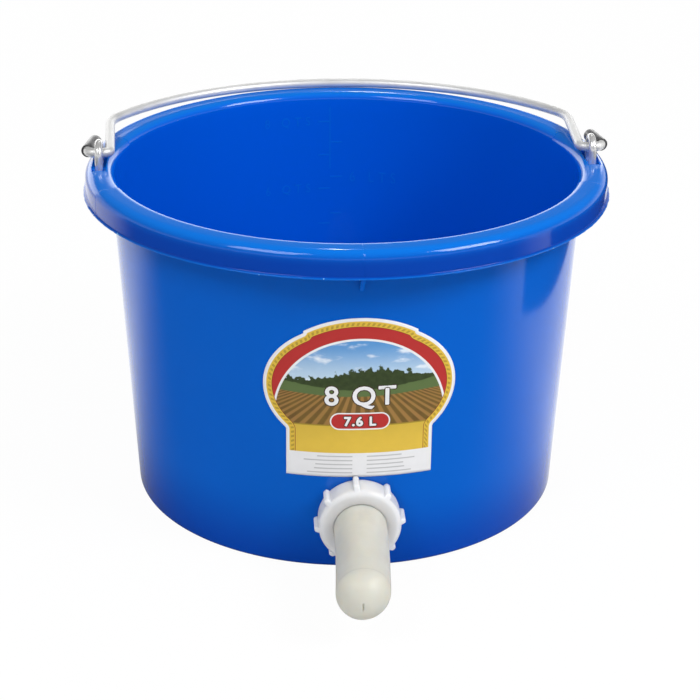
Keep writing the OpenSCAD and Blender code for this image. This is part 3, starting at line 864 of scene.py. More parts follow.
def label_plates(made, settings, scene, u, v):
    """The picture with a straw field below it, a plate for the small figures and a cap along the tab's arc.

    Plate and cap are red with a white edge, and the plate's ends are round.
    """
    colours, sizes = settings.finish, settings.label
    straw_top, straw_deep, straw_pale = -0.215, -0.15, -0.36
    line_low, line_high = -0.216, -0.209
    plate_half, plate_red, plate_white = 0.105, 0.042, 0.049
    cap_width, cap_line, edge = 0.115, 0.011, 0.001

    shade = made.step(v, straw_pale, straw_deep)
    straw = made.mix(shade, tint(colours.straw, 1.1), tint(colours.straw, 0.92))
    scene = made.mix(made.below(v, straw_top, 2 * edge), scene, straw)
    scene = made.mix(made.span(v, line_low, line_high, edge), scene, tint(colours.gold, 0.5))
    lift = made.math("ABSOLUTE", made.math("ADD", v, -sizes.note_place / LABEL_UNIT))
    past = made.math("MAXIMUM", made.math("SUBTRACT", made.math("ABSOLUTE", u), plate_half), 0.0)
    plate = made.distance(past, lift)
    scene = made.mix(made.below(plate, plate_white, edge), scene, colours.paper)
    scene = made.mix(made.below(plate, plate_red, edge), scene, colours.red)

    tab_radius = label_tab_radius(sizes) / LABEL_UNIT
    middle = (sizes.top - label_oval(sizes)[1]) / LABEL_UNIT - tab_radius
    reach = made.distance(u, made.math("SUBTRACT", v, middle))
    cap = tab_radius - cap_width
    scene = made.mix(made.step(reach, cap - cap_line - edge, cap - cap_line + edge), scene, colours.paper)
    return made.mix(made.step(reach, cap, cap + 2 * edge), scene, colours.red)


def label_panel(made, colours, u, v):
    """White lower panel with two columns of plain grey rules, each row as long as white noise says."""
    rows, rule_low, rule_high, rule_soft = 42.0, 0.36, 0.62, 0.06
    shortest, longest, gutter, edge = 0.22, 0.31, 0.035, 0.004
    lowest, highest, cut = -0.492, -0.388, 0.001

    across = made.math("ABSOLUTE", u)
    row = made.times(v, rows)
    ragged = made.node("TexWhiteNoise", {"W": made.math("FLOOR", row)}, noise_dimensions="1D")["Value"]
    left_over = made.math("SUBTRACT", made.between(ragged, shortest, longest), across)
    rules = made.times(made.span(made.math("FRACT", row), rule_low, rule_high, rule_soft),
                       made.step(left_over, 0.0, edge), made.step(across, gutter, gutter + edge),
                       made.span(v, lowest, highest, cut))
    return made.mix(made.times(rules, 0.6), colours.paper, colours.ink)


def label_finish(settings):
    """Printed film: a white edge, a gold band with dashes, the picture with its plates, and the lower panel.

    The map gives places from the oval's middle in units of LABEL_UNIT. The attributes give the distance from
    the edge, and the place along it, in millimetres.
    """
    colours = settings.finish
    made = Finish("label_print", IOR=1.45)
    u, v, _ = made.node("SeparateXYZ", {"Vector": made.node("UVMap", {}, uv_map="UVMap")["UV"]})
    flat = made.node("CombineXYZ", {"X": u, "Y": v})["Vector"]
    inset = made.node("Attribute", {}, attribute_name="inset")["Fac"]
    along = made.node("Attribute", {}, attribute_name="along")["Fac"]
    white_in, band_in, line_in = (1.7, 1.85), (4.6, 4.7), (4.9, 5.0)
    dash_low, dash_high, dash_soft, dash_turn, dash_slant = 2.6, 4.2, 0.08, 2.2, 1.2
    panel_top, panel_edge = -0.373, 0.001

    scene = label_plates(made, settings, label_scene(made, colours, u, v, flat), u, v)
    dash = made.math("SINE", made.math("MULTIPLY_ADD", along, dash_turn, made.times(inset, dash_slant)))
    dash = made.times(made.step(dash, -0.1, 0.2), made.span(inset, dash_low, dash_high, dash_soft))
    band = made.mix(dash, colours.gold, tint(colours.gold, 0.62))
    art = made.mix(made.step(inset, *line_in), tint(colours.red, 0.5), scene)
    art = made.mix(made.step(inset, *band_in), band, art)
    art = made.mix(made.step(inset, *white_in), colours.paper, art)
    base = made.mix(made.below(v, panel_top, panel_edge), art, label_panel(made, colours, u, v))
    fade = made.between(made.noise(20.0, 4.0, spot=flat), 0.94, 1.03)
    grey = made.node("CombineColor", {0: fade, 1: fade, 2: fade})[0]
    made.set("Base Color", made.mix(1.0, base, grey, "MULTIPLY"))
    made.set("Roughness", made.between(made.noise(40.0, 4.0, spot=flat), 0.3, 0.42))
    made.bump(made.noise(16.0, 3.0, spot=flat), 0.1 * MM, 0.3)
    return made.material


# Pieces

def pail_outline(pail):
    """Half section of the pail, from the axis under the floor over the rim to the axis inside."""
    skirt = pail.lip_radius - pail.lip_out
    lip_z = pail.height - pail.rim_drop
    under = pail.height - pail.wall
    floor_top = pail.foot_height + pail.floor
    foot_in = outer_radius(pail, 0) - pail.base_round - pail.foot_width
    small = pail.edge_round
    corners = [
        (0, pail.foot_height, 0),
        (foot_in - pail.foot_height, pail.foot_height, small),
        (foot_in, 0, small),
        (outer_radius(pail, 0), 0, pail.base_round),
        (outer_radius(pail, under), under, pail.crown_in - pail.wall),
        (skirt - pail.wall, under, pail.crown_out - pail.wall),
        (skirt - pail.wall, lip_z, small),
        (pail.lip_radius, lip_z, small / 2),
        (pail.lip_radius, lip_z + pail.lip_edge, small / 2),
        (skirt, lip_z + pail.lip_edge + pail.lip_slope, small),
        (skirt, pail.height, pail.crown_out),
        (inner_radius(pail, pail.height), pail.height, pail.crown_in),
        (inner_radius(pail, floor_top), floor_top, pail.floor_round),
        (0, floor_top, 0)]
    fine, wide = 1 * MM, 9 * MM
    steps = [wide, fine, wide, wide, fine, fine, fine, fine, fine, fine, fine, wide, wide, wide]
    return rounded(corners, steps)


def pail_mesh(pail):
    """The outline turned about the axis, with parting lines pressed into the rim and flash along the lip.

    The rim's top sinks by arch * ((r - middle) / half)^2 on both sides of its middle. The flash is a sum of
    sine waves around the lip. Columns stand half a step off the axes, where they would meet edges of the
    cutters.
    """
    columns, seam_columns, seam_reach = 360, 10, 2.2
    seed, wave_count, slowest, fastest = 7, 24, 40, 420
    flash_depth, crown_depth = 0.6 * MM, 1 * MM
    outline = pail_outline(pail)[1:-1]
    seams = [side + turn for side in (0, math.pi) for turn in (-pail.seam_turn, pail.seam_turn)]
    seams = wrap(np.array([*seams, -math.pi / 2]))
    even = sides(columns) + math.pi / columns
    turns = with_fine(even, seams, seam_reach * pail.seam_width / pail.lip_radius, seam_columns)
    grid = lathe(outline, turns)

    r, z = outline.T
    middle, rim_in = eye_place(pail), inner_radius(pail, pail.height)
    half = (pail.lip_radius - pail.lip_out - rim_in) / 2
    from_eye = np.abs(wrap(2 * turns)) / 2
    arch = np.where(from_eye < pail.seam_turn, pail.pad_arch, pail.crown_arch)
    upper = ease(z, pail.height - pail.rim_drop / 2, pail.height - crown_depth)
    sink = np.clip((r - middle) / half, -1, 1) ** 2 * upper
    grid[..., 2] -= sink[:, None] * arch

    away = np.abs(wrap(turns[:, None] - seams)).min(axis=1) * pail.lip_radius
    groove = pail.seam_depth * (1 - ease(away, 0, pail.seam_width))
    crown = ease(r, rim_in, rim_in + pail.crown_in)
    outside = (z > pail.height - pail.rim_drop + pail.lip_edge) & (r > middle)
    top = z > pail.height - pail.crown_in
    press = np.where(outside | top, crown, 0)[:, None] * groove
    rng = np.random.default_rng(seed)
    waves = rng.integers(slowest, fastest, wave_count)
    starts = rng.uniform(0, 2 * math.pi, wave_count)
    uneven = np.sin(waves * turns[:, None] + starts).sum(axis=1) / math.sqrt(wave_count / 2)
    lip = ease(r, pail.lip_radius - flash_depth, pail.lip_radius)[:, None]
    change = pail.flash * lip * uneven - press * (r > middle)[:, None]
    out = np.stack([np.cos(turns), np.sin(turns), 0 * turns], axis=-1)
    grid = grid + change[..., None] * out
    grid[..., 2] -= press * top[:, None]
    return skin("pail_shell", grid)


def pad_mesh(pail, side):
    """Solid stretch of rim around an eye: a section inside the channel, carried round the axis."""
    slices, small, step = 13, 0.3 * MM, 4 * MM
    foot = pail.height - pail.rim_drop + pail.edge_round
    half = pail.wall / 2
    skirt, top = pail.lip_radius - pail.lip_out - half, pail.height - half
    corners = [
        (outer_radius(pail, foot) - half, foot, small),
        (skirt, foot, small),
        (skirt, top, pail.crown_out - half),
        (outer_radius(pail, top) - half, top, pail.crown_in - half)]
    r, z = rounded(corners, step, ring=True).T
    half_turn = pail.pad_length / 2 / eye_place(pail)
    turns = side + np.linspace(-half_turn, half_turn, slices)[:, None]
    return skin("pad", np.stack([r * np.cos(turns), r * np.sin(turns), z + 0 * turns], axis=-1))


def rib_mesh(pail):
    """Rib under the front of the lip: a flat fin with rounded faces, built up from slices across its width.

    A slice at across, from -1 to 1, shrinks to 1 - bulge * (1 - sqrt(1 - across^2)).
    """
    slices, bulge, step = 9, 0.03, 2 * MM
    foot_round, top_round = 0.3 * MM, 1 * MM
    lip_z = pail.height - pail.rim_drop
    foot = lip_z - pail.rib_reach
    half = pail.wall / 2
    crown = pail.height - half
    corners = [
        (outer_radius(pail, foot) - half, foot, foot_round),
        (pail.lip_radius - pail.lip_out - half, lip_z + pail.lip_edge, top_round),
        (pail.lip_radius - pail.crown_out, crown, top_round),
        (outer_radius(pail, crown), crown, top_round)]
    outline = rounded(corners, step, ring=True)
    middle = outline.mean(axis=0)
    across = np.sin(np.linspace(-math.pi / 2, math.pi / 2, slices))
    inset = 1 - bulge * (1 - np.sqrt(1 - across ** 2))
    r, z = np.moveaxis(middle + (outline - middle) * inset[:, None, None], -1, 0)
    return skin("rib", np.stack([across[:, None] * pail.rib_width / 2 + 0 * r, -r, z], axis=-1))


def pocket_mesh(settings, side):
    """Cutter for the pocket around an eye: a box with rounded corners.

    It narrows at its floor and flares where it meets the crown.
    """
    pail, wire = settings.pail, settings.wire
    step, floor_rise, floor_in = 2 * MM, 0.6 * MM, 0.5 * MM
    flare_low, flare_high, flare_out, end = -0.5 * MM, 0.05 * MM, 0.3 * MM, 1.5 * MM
    size = np.array([wire.eye_wire / 2 + wire.pocket_gap, wire.pocket_length / 2])
    corners = [(*(size * way), wire.pocket_round) for way in ((-1, -1), (1, -1), (1, 1), (-1, 1))]
    outline = rounded(corners, step, ring=True, arc_steps=6)
    levels = np.array([-wire.pocket_depth, floor_rise - wire.pocket_depth, flare_low, flare_high, end])
    flare = np.array([-floor_in, 0, 0, flare_out, flare_out])
    core = np.clip(outline, wire.pocket_round - size, size - wire.pocket_round)
    grid = outline + flare[:, None, None] * unit(outline - core)
    high = np.broadcast_to(levels[:, None, None] + pail.height, grid.shape[:2] + (1,))
    return skin("pocket", np.concatenate([grid + [side * eye_place(pail), 0], high], axis=-1))


def outlet_hole_mesh(settings):
    """Cutter for the hole that the spigot passes through, a few walls long on both sides."""
    outlet, wall = settings.outlet, settings.pail.wall
    columns, walls_in, walls_out = 96, 4, 3
    radius = outlet.spigot + outlet.clearance
    outline = np.array([(radius, -walls_in * wall), (radius, walls_out * wall)])
    return skin("hole", on_outlet(settings, lathe(outline, sides(columns))))


def on_back_wall(pail, points):
    """Points given as (across, height, out) wrapped round the inside of the back wall."""
    across, z, out = points.T
    wall = inner_radius(pail, z)
    radius, turn = wall - out, across / wall
    return np.stack([radius * np.sin(turn), radius * np.cos(turn), z], axis=-1)


def word_parts(settings):
    """Capacity marks as (points, triangles) with places given as (across, height, out).

    They are an upright line, a tick at each height, and words beside the even counts.
    """
    marks = settings.marks
    line_cuts, word_spacing = 24, 1.7
    quart_heights = {8: 169.0, 7: 148.4, 6: 127.4, 5: 105.3}
    litre_heights = {7: 156.3, 6: 134.7, 5: 111.6}
    middle = (marks.line_top + marks.line_foot) / 2
    points, faces = bar(marks.line_top - marks.line_foot, marks.stroke, line_cuts)
    parts = [(points[:, [1, 0, 2]] + [marks.line_x, middle, 0], faces[:, ::-1])]
    for side, word, heights in ((-1, "QTS", quart_heights), (1, "LTS", litre_heights)):
        for count, height in heights.items():
            points, faces = bar(marks.tick, marks.stroke)
            parts.append((points + [marks.line_x + side * marks.tick / 2, height * MM, 0], faces))
            if count % 2 == 0:
                points, faces = lettering(f"{count} {word}", marks.letter, marks.word, word_spacing)
                parts.append((points + [marks.line_x + side * marks.letter_gap, height * MM, 0], faces))
    return parts


def bail_path(settings):
    """Centre line of the bail in its own plane.

    It is half an arch, a knee, a leg, a pin and a hooked end, and their mirror image. The knee's circle
    touches the leg's line and, from inside, the arch's circle.
    """
    pail, wire = settings.pail, settings.wire
    arch_points, knee_points, ankle_step = 60, 16, 4 * MM
    leg_x = eye_place(pail) - (wire.eye_wire + wire.bail_wire) / 2 - wire.leg_gap
    arch = pail.lip_radius - pail.lip_out - wire.bail_inset + wire.arch_sink
    up = np.array([math.sin(wire.leg_lean), math.cos(wire.leg_lean)])
    inward = np.array([-up[1], up[0]])
    from_arch = np.array([leg_x, wire.arch_sink]) + wire.knee * inward
    along = from_arch @ up
    rise = -along + math.sqrt((arch - wire.knee) ** 2 - from_arch @ from_arch + along ** 2)
    knee = from_arch + rise * up
    turn = math.atan2(knee[0], knee[1])
    a = np.linspace(0, turn, arch_points)
    b = np.linspace(turn, math.pi / 2 + wire.leg_lean, knee_points)[1:]
    sink = np.array([0, wire.arch_sink])
    arch_run = arch * np.stack([np.sin(a), np.cos(a)], axis=-1) - sink
    knee_run = knee + wire.knee * np.stack([np.sin(b), np.cos(b)], axis=-1) - sink
    corner, start, way = hook_place(settings)
    end = start + way * wire.hook_length
    corners = [(*knee_run[-1], 0), (leg_x, 0, wire.pin_bend), (corner, 0, wire.pin_bend), (*end, 0)]
    ankle = rounded(corners, ankle_step, arc_steps=14)
    half = np.concatenate([arch_run, knee_run, ankle[1:]])
    return np.concatenate([half[:0:-1] * [-1, 1], half])


def hook_place(settings):
    """Corner before the right hooked end, and its straight's start and direction, in the bail's plane."""
    wire = settings.wire
    hook_x = eye_place(settings.pail) + (wire.eye_wire + wire.bail_wire) / 2 + wire.hook_gap
    centre = hook_x - wire.pin_bend
    c, s = math.cos(wire.hook_lean), math.sin(wire.hook_lean)
    corner = centre + wire.pin_bend * math.tan(math.pi / 4 + wire.hook_lean / 2)
    start = np.array([centre + wire.pin_bend * c, wire.pin_bend + wire.pin_bend * s])
    return corner, start, np.array([-s, c])


def bail_rest(settings):
    """Angle by which the resting bail tips down from level towards the back of the rim."""
    pail, wire = settings.pail, settings.wire
    drop = PIVOT_Z - (pail.height + wire.rest_gap + wire.bail_wire / 2)
    return math.asin(drop / (pail.lip_radius - pail.lip_out - wire.bail_inset))


def on_bail(settings, points):
    """Points given as (across, out from the pins, above the bail's plane) put in their place at rest."""
    tip = bail_rest(settings)
    x, out, above = np.moveaxis(points, -1, 0)
    c, s = math.cos(tip), math.sin(tip)
    return np.stack([x, out * c + above * s, PIVOT_Z - out * s + above * c], axis=-1)


def add_run_map(mesh, rows, cols, run, girth):
    """UV map of a tube: distance along it and distance around it, in metres."""
    loops = np.empty(len(mesh.loops), np.int32)
    mesh.loops.foreach_get("vertex_index", loops)
    row, col = np.minimum(loops // cols, rows - 1), loops % cols
    starts = np.empty(len(mesh.polygons), np.int32)
    mesh.polygons.foreach_get("loop_start", starts)
    totals = np.diff(np.append(starts, len(loops)))
    face = np.repeat(np.arange(len(starts)), totals)
    high = np.zeros(len(starts), bool)
    np.logical_or.at(high, face, col == cols - 1)
    around = np.where(high[face] & (col == 0), cols, col) / cols * girth
    layer = mesh.uv_layers.new(name="UVMap")
    layer.data.foreach_set("uv", np.stack([run[row], around], axis=-1).astype(np.float32).ravel())


def wire_mesh(name, path, normal, diameter):
    """Mesh of a wire along a path, with a map that runs along it."""
    columns = 24
    grid = tube_grid(path, normal, diameter, columns)
    mesh = skin(name, grid)
    middle = grid.mean(axis=1)
    run = np.append(0, np.cumsum(np.linalg.norm(np.diff(middle, axis=0), axis=1)))
    add_run_map(mesh, len(grid), columns, run, math.pi * diameter)
    return mesh


def eye_path(settings, side):
    """Centre line of an eye: up one leg, round the arch and down the other leg."""
    pail, wire = settings.pail, settings.wire
    step = 3 * MM
    top = pail.height + wire.eye_rise - wire.eye_wire / 2
    foot = pail.height - wire.eye_root
    half = wire.eye_half
    corners = [(-half, foot, 0), (-half, top, half), (half, top, half), (half, foot, 0)]
    y, z = rounded(corners, step, arc_steps=20).T
    return np.stack([0 * y + side * eye_place(pail), y, z], axis=-1)


def tube_mesh(settings, name, side):
    """Tube on a hooked end: a ring section with rounded rims, turned about the hook's line."""
    wire = settings.wire
    columns, small, step = 40, 0.25 * MM, 4 * MM
    hole, radius = wire.bail_wire / 2 + wire.fit, wire.tube / 2
    low, high = -wire.tube_lap, wire.hook_length + wire.tube_over
    corners = [(hole, low, small), (radius, low, small), (radius, high, small), (hole, high, small)]
    grid = lathe(rounded(corners, step, ring=True, arc_steps=5), sides(columns))
    _, start, way = hook_place(settings)
    across, above, along = np.moveaxis(grid, -1, 0)
    flat = start + along[..., None] * way + across[..., None] * np.array([way[1], -way[0]])
    points = np.concatenate([flat * [side, 1], above[..., None]], axis=-1)
    return skin(name, on_bail(settings, points), ring=True)


def spigot_mesh(settings):
    """Flanged tube with a valve seat.

    Its thread is a groove whose depth follows turn / 2 pi - place / pitch, and fades out at both ends.
    """
    o = settings.outlet
    columns, plain, threads = 128, 4 * MM, 0.3 * MM
    small, inner_round, seat_round = 0.5 * MM, 0.3 * MM, 0.6 * MM
    band, fade_in, fade_start, fade_end = 0.1 * MM, 0.8 * MM, 1.3 * MM, 0.5 * MM
    groove_edge, groove_floor = 0.45, 0.75
    back = o.flange_front - o.flange_thick
    corners = [
        (o.seat, back, small), (o.flange, back, small), (o.flange, o.flange_front, inner_round),
        (o.spigot, o.flange_front, inner_round), (o.spigot, o.spigot_front, small),
        (o.bore, o.spigot_front, small), (o.bore, o.flange_front, seat_round),
        (o.seat, o.flange_front, small)]
    steps = [plain, plain, plain, threads, plain, plain, plain, plain]
    outline = rounded(corners, steps, ring=True, arc_steps=5)
    turns = sides(columns)
    r, z = outline.T
    threaded = (r > o.spigot - band) & (r < o.spigot + band)
    ends = ease(z, 0, fade_in) * (1 - ease(z, o.spigot_front - fade_start, o.spigot_front - fade_end))
    phase = (turns / (2 * math.pi) - z[:, None] / o.thread_pitch) % 1
    groove = o.thread_depth * ease(np.abs(phase - 0.5) * 2, groove_edge, groove_floor)
    groove = groove * (threaded * ends)[:, None]
    grid = lathe(outline, turns)
    grid[..., :2] *= (1 - groove / r[:, None])[..., None]
    return skin("outlet_spigot", on_outlet(settings, grid), ring=True)


def nut_mesh(settings):
    """Nut whose lugs are bumps of its radius, with sloping front ends.

    A lug stands out by rise * (1 - |b / half width|^4)^(1/2), where b is the distance from its middle.
    """
    o = settings.outlet
    even_columns, lug_columns, lug_margin, lug_spread = 160, 17, 1.15, 1.02
    back_step, side_step, plain = 1 * MM, 0.8 * MM, 2 * MM
    small, edge, mouth_round = 0.4 * MM, 0.6 * MM, 0.8 * MM
    slope_back, slope_front, skin_depth, bore_wall = 1.8 * MM, 0.2 * MM, 0.3 * MM, 0.5 * MM
    front = o.nut_back + o.nut_length
    bore, mouth = o.spigot + o.clearance, o.teat + o.mouth_gap
    corners = [
        (bore, o.nut_back, small), (o.nut, o.nut_back, edge), (o.nut, front, o.nut_round),
        (mouth, front, mouth_round), (mouth, front - o.nut_lip, small), (bore, front - o.nut_lip, edge)]
    outline = rounded(corners, [back_step, side_step, plain, plain, plain, plain], ring=True, arc_steps=8)
    spots = wrap(o.lug_turn + np.arange(o.lug_count) * 2 * math.pi / o.lug_count)
    half = o.lug_width / 2 / o.nut
    fine = half * np.sin(np.linspace(-math.pi / 2, math.pi / 2, lug_columns))
    even = sides(even_columns)
    rest = even[np.abs(wrap(even[:, None] - spots)).min(axis=1) > lug_margin * half]
    turns = np.sort(wrap(np.concatenate([rest, *(spots[:, None] + fine * lug_spread)])))
    share = np.abs(wrap(turns[:, None] - spots)).min(axis=1) / half
    crest = np.sqrt(1 - np.minimum(share, 1) ** 4)
    r, z = outline.T
    outer = ease(r, o.nut - o.nut_round, o.nut - skin_depth) * (r > bore + bore_wall)
    lug_front = front - o.lug_end
    ends = 1 - ease(z, lug_front - slope_back, lug_front + slope_front)
    rise = o.lug_rise * (outer * ends)[:, None] * crest
    grid = lathe(outline, turns)
    grid[..., :2] *= (1 + rise / r[:, None])[..., None]
    return skin("lugged_nut", on_outlet(settings, grid), ring=True)


def teat_mesh(settings):
    """Hollow teat: a section turned about the axis, bent to the left by lean * (share of its length)^1.6.

    A shallow line with the profile exp(-(distance / width)^2) runs where the dome starts, and a slit is
    pressed into the tip. Each dome is a hair smaller than the radius, so that a short flat joins it to
    the axis.
    """
    o = settings.outlet
    columns, fit, lean_power = 120, 0.05 * MM, 1.6
    plain, bore_step, side_step, dome_step = 2 * MM, 3 * MM, 0.8 * MM, 0.3 * MM
    small, neck_round, inner_dome, outer_dome = 0.4 * MM, 0.3 * MM, 0.999, 0.9985
    line_width, line_depth, slit_depth = 0.45 * MM, 0.16 * MM, 1.0 * MM
    front = o.nut_back + o.nut_length
    tip = front + o.teat_length
    seat, grip = o.spigot_front + fit, front - o.nut_lip - fit
    inner, inner_tip = o.teat - o.teat_wall, tip - o.teat_wall
    corners = [
        (0, inner_tip, 0), (inner, inner_tip, inner * inner_dome), (inner, seat, small),
        (o.teat_flange, seat, small), (o.teat_flange, grip, small), (o.teat, grip, neck_round),
        (o.teat, tip, o.teat * outer_dome), (0, tip, 0)]
    steps = [plain, bore_step, plain, plain, plain, side_step, dome_step, 0]
    outline = rounded(corners, steps, arc_steps=48)[1:-1]
    grid = lathe(outline, sides(columns))
    r, z = outline.T
    outside = r > inner + 0.4 * o.teat_wall
    line = np.exp(-((z - tip + o.teat) / line_width) ** 2) * outside
    grid[..., :2] *= (1 - line_depth * line / r)[:, None, None]
    x, up, along = np.moveaxis(grid, -1, 0)
    at_tip = ease(along, tip - 0.5 * o.teat_wall, tip - 0.2 * o.teat_wall)
    slit = 1 - ease(np.abs(x), 0.2 * o.slit_width, 0.75 * o.slit_width)
    slit = slit * (1 - ease(np.abs(up), 0.35 * o.slit_length, 0.5 * o.slit_length))
    along = along - slit_depth * slit * at_tip
    share = np.clip((along - front) / o.teat_length, 0, None)
    grid = np.stack([x - o.teat_lean * share ** lean_power, up, along], axis=-1)
    return skin("teat", on_outlet(settings, grid))


def label_edge(settings, turns):
    """Distance from the oval's middle to the label's edge at each angle.

    It is the greatest of the oval's, the tab's and the panel's.
    """
    sizes = settings.label
    half_height, middle = label_oval(sizes)
    tiny = 1e-9
    c, s = np.cos(turns), np.sin(turns)
    beside, below = np.maximum(np.abs(c), tiny), np.maximum(-s, tiny)
    oval = 1 / np.hypot(c / sizes.half_width, s / half_height)
    panel = np.minimum(sizes.panel_half / beside, (middle - sizes.bottom) / below)
    tab_radius = label_tab_radius(sizes)
    lift = sizes.top - middle - tab_radius
    arc = lift * s + np.sqrt(np.maximum(tab_radius ** 2 - (lift * c) ** 2, 0))
    tab = np.minimum(arc, sizes.tab_half / beside)
    return np.maximum(oval, np.where(s < 0, panel, tab))


def label_oval(sizes):
    """Half height of the label's oval and the height of its middle."""
    top = sizes.top - sizes.tab_rise
    half = (top - sizes.bottom - sizes.panel_show) / 2
    return half, top - half


def label_tab_radius(sizes):
    """Radius of the arc along the top of the tab: (half width^2 + drop^2) / (2 drop)."""
    return (sizes.tab_half ** 2 + sizes.tab_drop ** 2) / (2 * sizes.tab_drop)


def label_point(settings, flat, out):
    """Flat label points (across, height above the oval's middle) bent round the wall, out from it."""
    pail, middle = settings.pail, label_oval(settings.label)[1]
    bend = outer_radius(pail, middle)
    x = bend * np.sin(flat[..., 0] / bend)
    z = flat[..., 1] + middle
    radius = outer_radius(pail, z) + out
    return np.stack([x, -np.sqrt(radius ** 2 - x ** 2), z], axis=-1)


def label_mesh(settings):
    """Sheet of the label: rings from the oval's middle to its edge, bent round the wall, with its print map.

    Each point also gets its distance from the nearest stretch of the edge and its place along the edge.
    """
    sizes = settings.label
    columns, corner_columns, corner_half, ring_count = 240, 9, math.radians(2), 40
    middle = label_oval(sizes)[1]
    corner_x = np.array([sizes.panel_half, sizes.tab_half])
    corner_y = np.array([sizes.bottom - middle, sizes.top - middle - sizes.tab_drop])
    corners = np.arctan2(np.tile(corner_y, 2), np.concatenate([corner_x, -corner_x]))
    turns = with_fine(sides(columns), corners, corner_half, corner_columns)[::-1]
    edge = label_edge(settings, turns)[:, None] * np.stack([np.cos(turns), np.sin(turns)], axis=-1)
    flat = np.linspace(0, 1, ring_count + 1)[1:, None, None] * edge
    mesh = skin("label_sheet", label_point(settings, flat, sizes.gap + sizes.thickness), closed=False)
    points = np.concatenate([flat.reshape(-1, 2), [[0, 0]]])
    lines = np.roll(edge, -1, axis=0) - edge
    share = np.einsum("pij,ij->pi", points[:, None] - edge, lines) / np.einsum("ij,ij->i", lines, lines)
    near = edge + np.clip(share, 0, 1)[..., None] * lines
    inset = np.linalg.norm(points[:, None] - near, axis=-1).min(axis=1)
    along = np.append(0, np.cumsum(np.linalg.norm(lines, axis=1)))[:-1]
    along = np.append(np.tile(along, ring_count), 0)
    for name, values in (("inset", inset / MM), ("along", along / MM)):
        mesh.attributes.new(name, "FLOAT", "POINT").data.foreach_set("value", values.astype(np.float32))
    loops = np.empty(len(mesh.loops), np.int32)
    mesh.loops.foreach_get("vertex_index", loops)
    layer = mesh.uv_layers.new(name="UVMap")
    layer.data.foreach_set("uv", (points[loops] / LABEL_UNIT).astype(np.float32).ravel())
    return mesh


def label_words(settings, name, spread, rise):
    """The capacity in figures on the label, as ink that stands out from the film by rise.

    Copies that are shifted by spread to all sides, each a hair higher than the last, make the strokes bolder.
    """
    sizes = settings.label
    copies, hair, spacing = 8, 0.002 * MM, 1.15
    turns = sides(copies)
    shifts = spread * np.stack([np.cos(turns), np.sin(turns)], axis=-1)
    lines = {"8 QT": (sizes.title, sizes.title_place), "7.6 L": (sizes.note, sizes.note_place)}
    parts = []
    for words, (height, place) in lines.items():
        points, faces = lettering(words, height, spacing=spacing)
        for count, shift in enumerate(shifts):
            out = sizes.gap + sizes.thickness + (rise + hair * count) * points[:, 2]
            parts.append((label_point(settings, points[:, :2] + shift + [0, place], out), faces))
    return merged(parts, name)


# Stage

def make_floor(stage):
    """Flat pale floor. Most of it shows as plain white, so that only a faint shadow stays on it.

    Gloss mirrors it dim in front of the pail, as painted shadow of the pail on the floor, and brighter than
    white behind it, as painted light from behind, along a slanted border, and dark past an edge at the right.
    """
    dim, bright, slant, border = 0.05, 1.15, 0.3, (-120 * MM, 100 * MM)
    dark_x, dark_y = (347 * MM, 350 * MM), (-62 * MM, -58 * MM)
    paper = [(0.84, 0.84, 0.84), (0.88, 0.88, 0.88)]
    corner = np.array([-stage.floor_half, stage.floor_half])
    x, y = np.meshgrid(corner, corner)
    points = np.stack([x, y, 0 * x], axis=-1).reshape(-1, 3)
    mesh = bpy.data.meshes.new("floor")
    mesh.from_pydata(points.tolist(), [], [[0, 1, 3, 2]])

    made = Finish("floor_paper", Roughness=0.9, Specular_IOR_Level=0.1)
    made.set("Base Color", made.mix(made.noise(60.0, 3.0), *paper))
    x, y, _ = made.node("SeparateXYZ", {"Vector": made.spot})
    # Painted shadow in front of the pail and painted light behind it, as gloss sees the floor
    mirrored = made.between(made.step(made.math("MULTIPLY_ADD", x, slant, y), *border), dim, bright)
    past_edge = made.times(made.step(x, *dark_x), made.step(y, *dark_y))
    mirrored = made.times(mirrored, made.math("SUBTRACT", 1.0, past_edge))
    glossy = made.node("LightPath", {})["Is Glossy Ray"]
    strength = made.node("Mix", {"Factor": glossy, "A": 1.0, "B": mirrored})["Result"]
    white = made.node("Emission", {"Strength": strength})["Emission"]
    share = made.times(made.seen_as_white(), stage.floor_white)
    blend = made.node("MixShader", {0: share, 1: made.surface.outputs["BSDF"], 2: white})["Shader"]
    made.put(made.tree.nodes["Material Output"].inputs["Surface"], blend)
    mesh.materials.append(made.material)
    floor = bpy.data.objects.new("floor", mesh)
    bpy.context.scene.collection.objects.link(floor)


def make_world(scene, stage):
    """White room that shows as plain white. Gloss mirrors it white near the horizon, below a dim ceiling."""
    horizon_low, horizon_high = 0.08, 0.32
    world = bpy.data.worlds.new("room")
    world.use_nodes = True
    scene.world = world
    made = Nodes(world.node_tree)
    rise = made.node("SeparateXYZ", {"Vector": made.node("TexCoord", {})["Generated"]})["Z"]
    inputs = {"From Min": horizon_low, "From Max": horizon_high, "To Min": 1.0, "To Max": stage.ceiling}
    mirrored = made.node("MapRange", {"Value": rise, **inputs})["Result"]
    lit = made.between(made.seen_as_white(), stage.room, 1.0)
    glossy = made.node("LightPath", {})["Is Glossy Ray"]
    strength = made.node("Mix", {"Factor": glossy, "A": lit, "B": mirrored})["Result"]
    room = made.tree.nodes["Background"]
    made.put(room.inputs["Color"], (1, 1, 1, 1))
    made.put(room.inputs["Strength"], strength)


def make_lights(scene, stage):
    """Soft boxes high at the right and left front, a narrow strip high behind and a wide screen low behind.

    All of them point at one place on the pail's axis.
    """
    boxes = {"key": "key_box", "fill": "fill_box", "strip": "back_strip", "screen": "back_screen"}
    for setting, name in boxes.items():
        light = bpy.data.lights.new(name, "AREA")
        light.shape = "RECTANGLE"
        light.size, light.size_y = getattr(stage, setting + "_size")
        light.energy = getattr(stage, setting)
        place = np.array(getattr(stage, setting + "_place"))
        lamp = bpy.data.objects.new(name, light)
        lamp.matrix_world = looking(place, [0, 0, stage.lamp_aim] - place, (0, 0, 1))
        scene.collection.objects.link(lamp)


